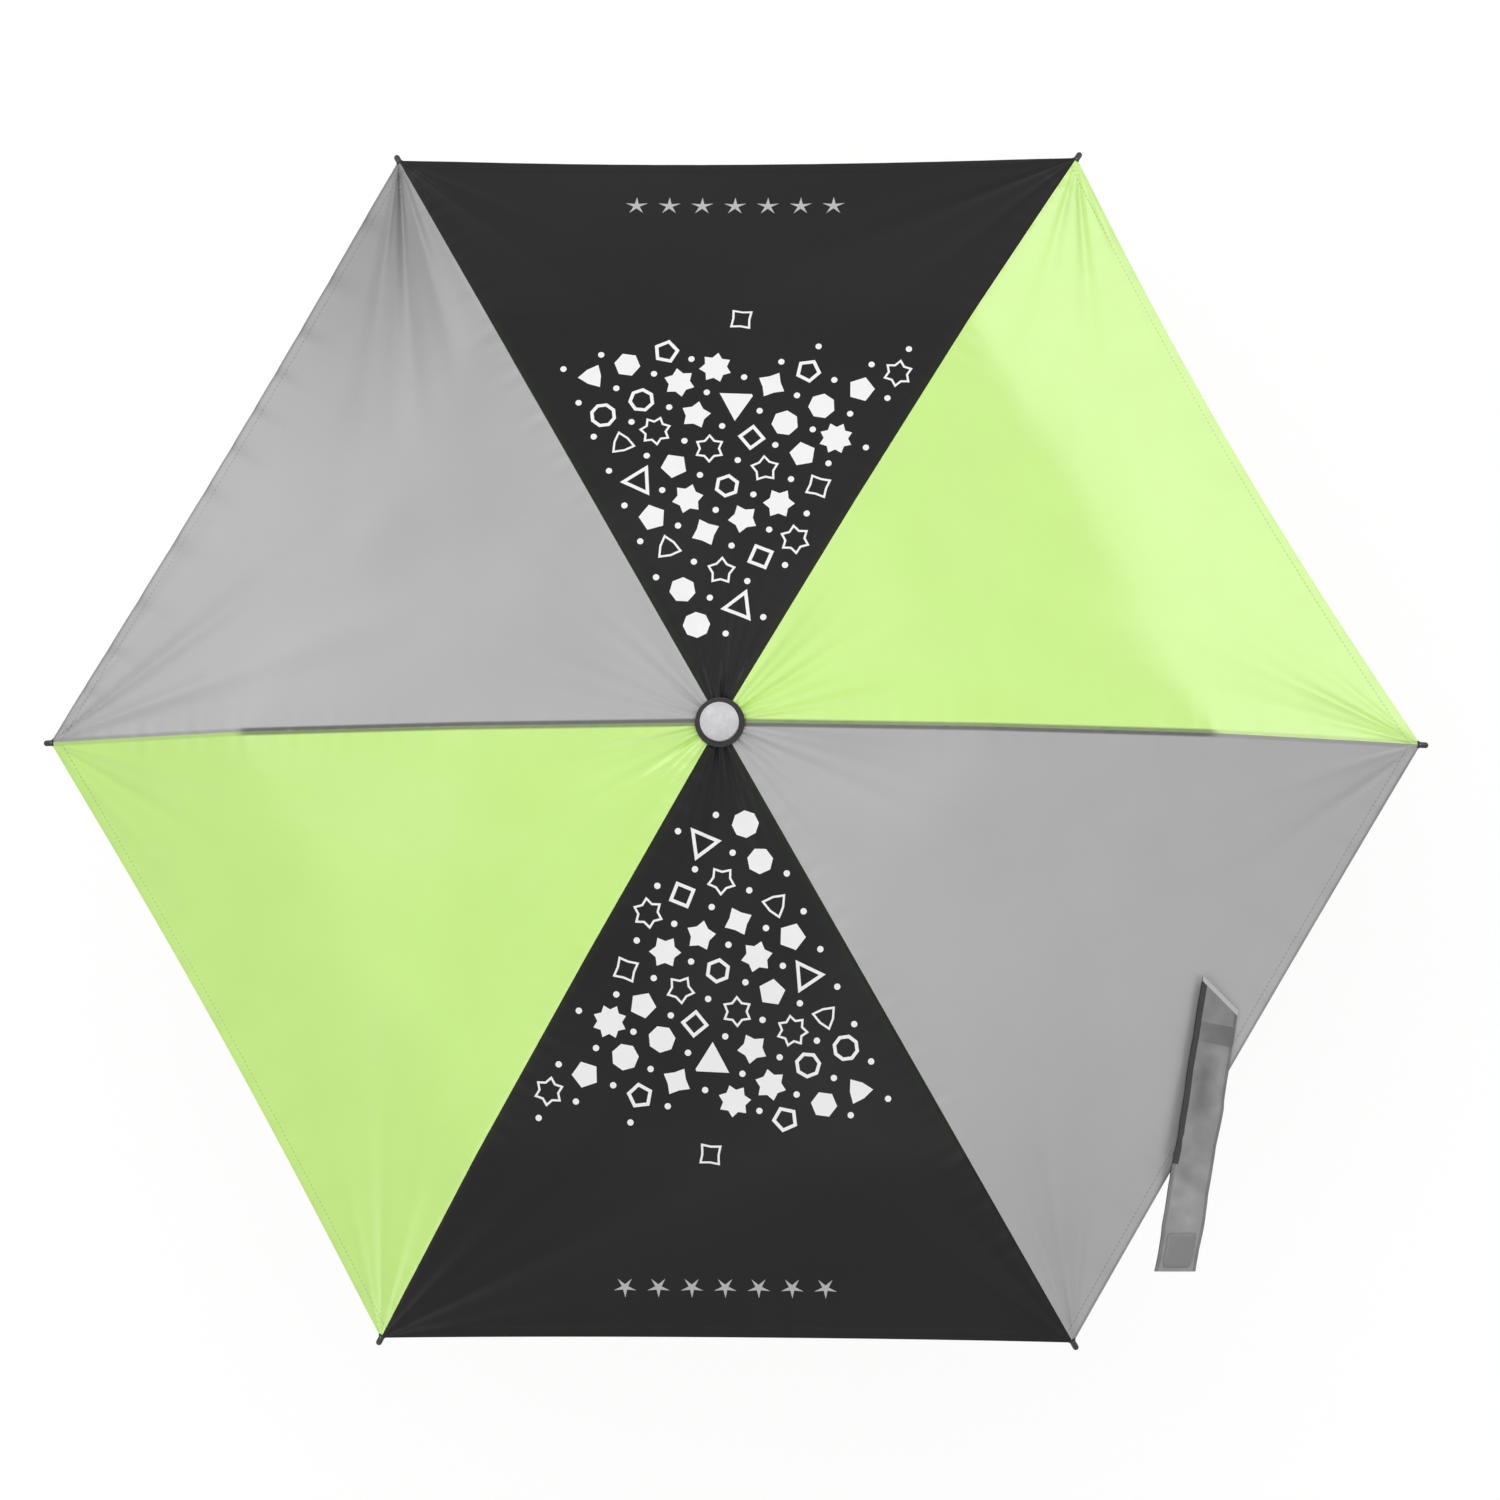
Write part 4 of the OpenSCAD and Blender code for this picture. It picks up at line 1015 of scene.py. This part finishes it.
class UMBRELLA_OT_rosette(bpy.types.Operator):
    """Make the cloth rosette under the ferrule cap"""

    bl_idname = "umbrella.rosette"
    bl_label = "Rosette"

    def execute(self, context):
        trim = context.scene.umbrella_trim
        # Coated cloth: dull black with a faint sheen
        cloth = grained_finish("coated_rosette_cloth", trim.dark, 0.7, 0.0012, 0.0003, Sheen_Weight=0.2)
        inner_edge = 0.0005
        low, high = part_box("canopy_washer")
        points = node_points("canopy_washer")
        reach = np.hypot(points[:, 0], points[:, 1])
        inner, outer = reach.min(), reach.max()
        thick = high.z - points[reach < inner + inner_edge, 2].min()
        fall = (high.z - thick - low.z) / (outer - inner)
        segments, flat_rings, rim_rings = 96, 8, 7
        waves, wave_rise = 12, 0.00015
        turn = np.linspace(0, math.tau, segments, endpoint=False)[:, None]
        flat = np.linspace(inner, outer - thick / 2, flat_rings)
        rim = np.linspace(0, math.pi, rim_rings)
        radius = np.concatenate([flat, outer - thick / 2 + thick / 2 * np.sin(rim), [inner]])[None, :]
        rise = thick / 2 * np.concatenate([np.ones(flat_rings), np.cos(rim), [-1]])[None, :]
        ripple = wave_rise * np.cos(waves * turn) * (radius - inner) / (outer - inner)
        height = high.z - thick / 2 - fall * (radius - inner) + rise + ripple
        rings = np.stack([radius * np.cos(turn), radius * np.sin(turn), height], -1)[:, ::-1]
        mesh = ring_mesh("rosette_disc", rings, cloth)
        piece = add_object("rosette_disc", mesh, "upper_tube")
        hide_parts("canopy_washer")
        return {"FINISHED"}


class UMBRELLA_OT_threads(bpy.types.Operator):
    """Make the threads that tie the canopy to the ribs and to the tips"""

    bl_idname = "umbrella.threads"
    bl_label = "Threads"

    def execute(self, context):
        trim = context.scene.umbrella_trim
        canopy = context.scene.umbrella_canopy
        # Twisted polyester: dull black with a fine twist
        thread = grained_finish("twisted_polyester_thread", trim.dark, 0.65, 0.0005, 0.0001)
        under_cloth = canopy.thickness + trim.thread / 4
        over_cloth = -trim.thread / 4
        top_share, middle_share, tip_inset = 0.78, 0.55, 0.0012
        ties = {"top_rib": top_share * KNEE_R, "middle_rib": KNEE_R + middle_share * (TAIL_R - KNEE_R)}
        tip_at = HEM_R - tip_inset
        rib_size, tip_size = (0.00175, 0.0058), (0.0022, 0.0045)
        for rib in range(1, RIBS + 1):
            for body, at in ties.items():
                self.add_loops(f"tie_{body}_{rib}", f"{body}_{rib}", rib, at, rib_size, under_cloth,
                               trim, canopy, thread)
            self.add_loops(f"tip_stitch_{rib}", f"outer_rib_{rib}", rib, tip_at, tip_size, over_cloth,
                           trim, canopy, thread)
        return {"FINISHED"}

    def add_loops(self, name, body, rib, at, size, sunk, trim, canopy, thread):
        """Three turns of thread round a rib: each is a superellipse of power 4 square to the rib,
        from a depth under the cloth's upper side down past the rib, with a round section. The size
        is half a turn's width and its height."""
        turns, turn_points, section_points = 3, 40, 8
        power = 4
        spacing = 0.95 * trim.thread
        half_width, drop = size
        around = np.linspace(0, math.tau, turn_points, endpoint=False)
        profile = np.linspace(0, math.tau, section_points, endpoint=False)[None, :, None]
        cos, sin = np.cos(around), np.sin(around)
        blunt = (np.abs(cos) ** power + np.abs(sin) ** power) ** (-1 / power)
        slope = np.interp(at, (LINE_R[:-1] + LINE_R[1:]) / 2, LINE_SLOPE)
        run = np.array([1, 0, slope]) / math.hypot(1, slope)
        up = np.array([-slope, 0, 1]) / math.hypot(1, slope)
        aside = np.array([0, 1, 0])
        top = cloth_height(rib, 1, np.array([at]), np.array([0.0]), canopy)[0] - sunk
        path = np.outer(cos * blunt * half_width, aside) + np.outer(sin * blunt * drop / 2, up)
        spokes = np.outer(cos, aside) + np.outer(sin, up)
        tube = trim.thread / 2 * (np.cos(profile) * spokes[:, None, :] + np.sin(profile) * run)
        middle = np.array([at, 0, top]) - up * drop / 2
        shifts = (np.arange(turns) - (turns - 1) / 2) * spacing
        loops = [middle + run * shift + path[:, None, :] + tube for shift in shifts]
        turn = np.array(Matrix.Rotation(STEP * (rib - 1), 3, "Z"))
        meshes = [ring_mesh(name, loop @ turn.T, thread) for loop in loops]
        piece = add_object(name, meshes[0], body)
        extra = [bpy.data.objects.new(name, mesh) for mesh in meshes[1:]]
        for loop in extra:
            bpy.context.scene.collection.objects.link(loop)
        with bpy.context.temp_override(active_object=piece, selected_editable_objects=[piece, *extra]):
            bpy.ops.object.join()


class UMBRELLA_OT_finishes(bpy.types.Operator):
    """Give the handle, shaft, runner, ribs, cap and tips their finishes"""

    bl_idname = "umbrella.finishes"
    bl_label = "Finishes"

    def execute(self, context):
        trim = context.scene.umbrella_trim
        # The numbers of a grained finish are its roughness and its grain's size and depth in metres,
        # and those of a drawn steel its roughness and the stretch of its lines
        # Soft-touch paint over a moulded grip: dull black with a fine grit
        dress(["handle_grip"], grained_finish("soft_touch_grip", trim.grip, 0.58, 0.0009, 0.0002))
        # Moulded ABS: black, smoother than the grip
        dress(["handle_end_cap"], grained_finish("moulded_abs_black", trim.grip, 0.42, 0.002, 0.0001))
        # Chromed tube: bright, with faint lines along its length
        tubes = drawn_steel("chromed_steel_tube", linear("#C9CBCF"), 0.17, (1, 1, 0.03))
        dress(["lower_tube", "middle_tube", "upper_tube"], tubes)
        # Acetal slides without grease: black with a waxy gloss
        acetal = grained_finish("moulded_acetal_black", trim.dark, 0.36, 0.003, 0.0001)
        dress(["runner", "top_notch", "lower_bush", "middle_bush"], acetal)
        # Moulded button: dark grey with a soft gloss
        button = grained_finish("moulded_button_grey", linear("#47474B"), 0.4, 0.0015, 0.0001)
        dress(["runner_button"], button)
        # Black plated ribs: dark metal whose sheen is broken by the rolling
        ribs = drawn_steel("black_plated_rib_steel", linear("#4A4B4F"), 0.34, (0.6, 0.6, 1))
        dress(each_rib("top_rib", "stretcher", "middle_rib", "outer_rib"), ribs)
        # Zinc plated strip: pale and slightly cloudy
        zinc = grained_finish("zinc_plated_strip", linear("#A9ACB1"), 0.38, 0.004, 0.00002, Metallic=1.0)
        dress(each_rib("connecting_link"), zinc)
        # Drawn wire: pale and bright, with fine lines along it
        wires = drawn_steel("bright_drawn_wire", linear("#BFC1C5"), 0.24, (0.5, 0.5, 1))
        dress(["runner_wire", "notch_wire"] + each_rib("pull_wire"), wires)
        # Moulded nylon: black, a little duller than the slides
        dress(each_rib("rib_tip"), grained_finish("moulded_nylon_tip", trim.dark, 0.45, 0.0015, 0.0001))
        # Moulded cap: pale grey, satin, with a soft highlight
        dress(["ferrule_cap"], grained_finish("satin_abs_cap", trim.cap, 0.34, 0.0018, 0.00006))
        return {"FINISHED"}


# The softboxes: direction from the canopy, and distance and side in metres
SOFTBOXES = {
    "top": ((0.1, 0.2, 1), 3.2, 2.6),
    "right": ((0.77, 0.51, 0.39), 2.8, 1.45),
    "left": ((-0.62, 0.66, 0.42), 2.8, 1.6),
    "low": ((-0.45, -0.6, 0.66), 3.0, 2.2),
    "low_right": ((0.76, -0.46, 0.45), 3.0, 1.5),
}


class UMBRELLA_OT_stage(bpy.types.Operator):
    """Set the floor, the light and the camera"""

    bl_idname = "umbrella.stage"
    bl_label = "Stage"

    def execute(self, context):
        settings = context.scene.umbrella_stage
        context.scene.view_settings.view_transform = "Standard"
        self.add_world(context, settings)
        self.add_floor(context)
        for name, (direction, distance, size) in SOFTBOXES.items():
            level = getattr(settings, name)
            self.add_softbox(context, f"softbox_{name}", Vector(direction), distance, size, level)
        self.add_camera(context, settings)
        return {"FINISHED"}

    def seen_directly(self, tree):
        """1 for the rays that look at a surface or mirror it, and 0 for those that light it."""
        path = put(tree, "ShaderNodeLightPath").outputs
        known = {kind: path[f"Is {kind} Ray"] for kind in ("Camera", "Glossy", "Transmission")}
        steps = [("looked", "MAXIMUM", "Camera", "Glossy"), ("seen", "MAXIMUM", "looked", "Transmission")]
        return work_out(tree, known, steps)["seen"]

    def add_world(self, context, settings):
        """A world that looks white and lights at its own strength."""
        world = bpy.data.worlds.new("studio")
        world.use_nodes = True
        tree = world.node_tree
        tree.nodes.clear()
        known = {"seen": self.seen_directly(tree)}
        work_out(tree, known, [("level", "RANGE", "seen", 0.0, 1.0, settings.world, 1.0)])
        sky = put(tree, "ShaderNodeBackground", {"Color": (1, 1, 1, 1), "Strength": known["level"]})
        put(tree, "ShaderNodeOutputWorld", {"Surface": sky.outputs[0]})
        context.scene.world = world

    def add_floor(self, context):
        """A pale floor under the handle. Seen directly it is nearly white and keeps a faint shadow,
        and with the distance it turns as white as the world."""
        reach = 30.0
        gap = 0.002
        lit = (0.85, 0.85, 0.85, 1)
        shown = (0.25, 0.25, 0.25, 1)
        glow_near, glow_far = 0.79, 1.0
        white_from, white_at = 0.6, 3.0
        height = CAD_BOX[0].z - gap
        mesh = bpy.data.meshes.new("floor")
        signs = ((-1, -1), (1, -1), (1, 1), (-1, 1))
        mesh.from_pydata([(reach * x, reach * y, height) for x, y in signs], [], [(0, 1, 2, 3)])
        finish = bpy.data.materials.new("pale_floor")
        finish.use_nodes = True
        tree = finish.node_tree
        tree.nodes.clear()
        seen = self.seen_directly(tree)
        pale = put(tree, "ShaderNodeMix", {"Factor": seen, "A": lit, "B": shown}, data_type="RGBA")
        matt = put(tree, "ShaderNodeBsdfDiffuse", {"Color": pale.outputs["Result"]})
        place = put(tree, "ShaderNodeTexCoord").outputs["Object"]
        away = put(tree, "ShaderNodeVectorMath", {0: place}, operation="LENGTH").outputs["Value"]
        known = work_out(tree, {"seen": seen, "away": away}, [
            ("white", "RANGE", "away", white_from, white_at, glow_near, glow_far),
            ("glow", "MULTIPLY", "seen", "white"),
        ])
        light = put(tree, "ShaderNodeEmission", {"Strength": known["glow"]})
        both = put(tree, "ShaderNodeAddShader", {0: matt.outputs[0], 1: light.outputs[0]})
        put(tree, "ShaderNodeOutputMaterial", {"Surface": both.outputs[0]})
        mesh.materials.append(finish)
        floor = bpy.data.objects.new("floor", mesh)
        context.scene.collection.objects.link(floor)

    def add_softbox(self, context, name, direction, distance, size, level):
        """A square area light that faces the canopy. Its power gives the level, as a share of a
        colour's own brightness, to a surface that faces it."""
        lamp = bpy.data.lights.new(name, "AREA")
        lamp.size = size
        lamp.energy = level * (math.pi * distance) ** 2
        target = Vector((0, 0, NOTCH[2]))
        holder = bpy.data.objects.new(name, lamp)
        holder.location = target + direction.normalized() * distance
        holder.rotation_euler = (-direction).to_track_quat("-Z", "Y").to_euler()
        context.scene.collection.objects.link(holder)

    def add_camera(self, context, settings):
        """A long lens over the canopy, leaning a little to the right and down, with the rib tips'
        middle and width where the picture has them."""
        low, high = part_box("rib_tip_1")
        tips_z = (low.z + high.z) / 2
        pixel = 2 * high.x / settings.tips_pixels
        back = Vector((settings.lean_x, -settings.lean_y, 1)).normalized()
        level = Vector((0, 1, 0)).cross(back).normalized()
        right = Matrix.Rotation(settings.roll, 3, back) @ level
        up = back.cross(right)
        half = settings.frame_pixels / 2
        shift = right * (half - settings.middle_x) - up * (half - settings.middle_y)
        aim = Vector((0, 0, tips_z)) + pixel * shift
        camera = bpy.data.cameras.new("camera")
        camera.lens = camera.sensor_width * settings.distance / (pixel * settings.frame_pixels)
        camera.clip_end = 50
        holder = bpy.data.objects.new("camera", camera)
        facing = Matrix((right, up, back)).transposed().to_4x4()
        holder.matrix_world = Matrix.Translation(aim + back * settings.distance) @ facing
        context.scene.collection.objects.link(holder)
        context.scene.camera = holder


OPERATORS = (
    UMBRELLA_OT_stage,
    UMBRELLA_OT_canopy,
    UMBRELLA_OT_strap,
    UMBRELLA_OT_rosette,
    UMBRELLA_OT_threads,
    UMBRELLA_OT_finishes,
)


class UMBRELLA_PT_sidebar(bpy.types.Panel):
    """Lists the umbrella's pieces in the sidebar"""

    bl_label = "Umbrella"
    bl_idname = "UMBRELLA_PT_sidebar"
    bl_space_type = "VIEW_3D"
    bl_region_type = "UI"
    bl_category = "Umbrella"

    def draw(self, context):
        for operator in OPERATORS:
            self.layout.operator(operator.bl_idname)


SETTINGS = {
    "umbrella_canopy": CanopySettings,
    "umbrella_trim": TrimSettings,
    "umbrella_stage": StageSettings,
}


def register():
    for group in (*SETTINGS.values(), *OPERATORS, UMBRELLA_PT_sidebar):
        bpy.utils.register_class(group)
    for name, group in SETTINGS.items():
        setattr(bpy.types.Scene, name, PointerProperty(type=group))


def unregister():
    for name in SETTINGS:
        delattr(bpy.types.Scene, name)
    for group in (UMBRELLA_PT_sidebar, *reversed(OPERATORS), *SETTINGS.values()):
        bpy.utils.unregister_class(group)


def main():
    """Makes every piece in order."""
    register()
    bpy.ops.umbrella.stage()
    bpy.ops.umbrella.canopy()
    bpy.ops.umbrella.strap()
    bpy.ops.umbrella.rosette()
    bpy.ops.umbrella.threads()
    bpy.ops.umbrella.finishes()


if __name__ == "__main__":
    main()
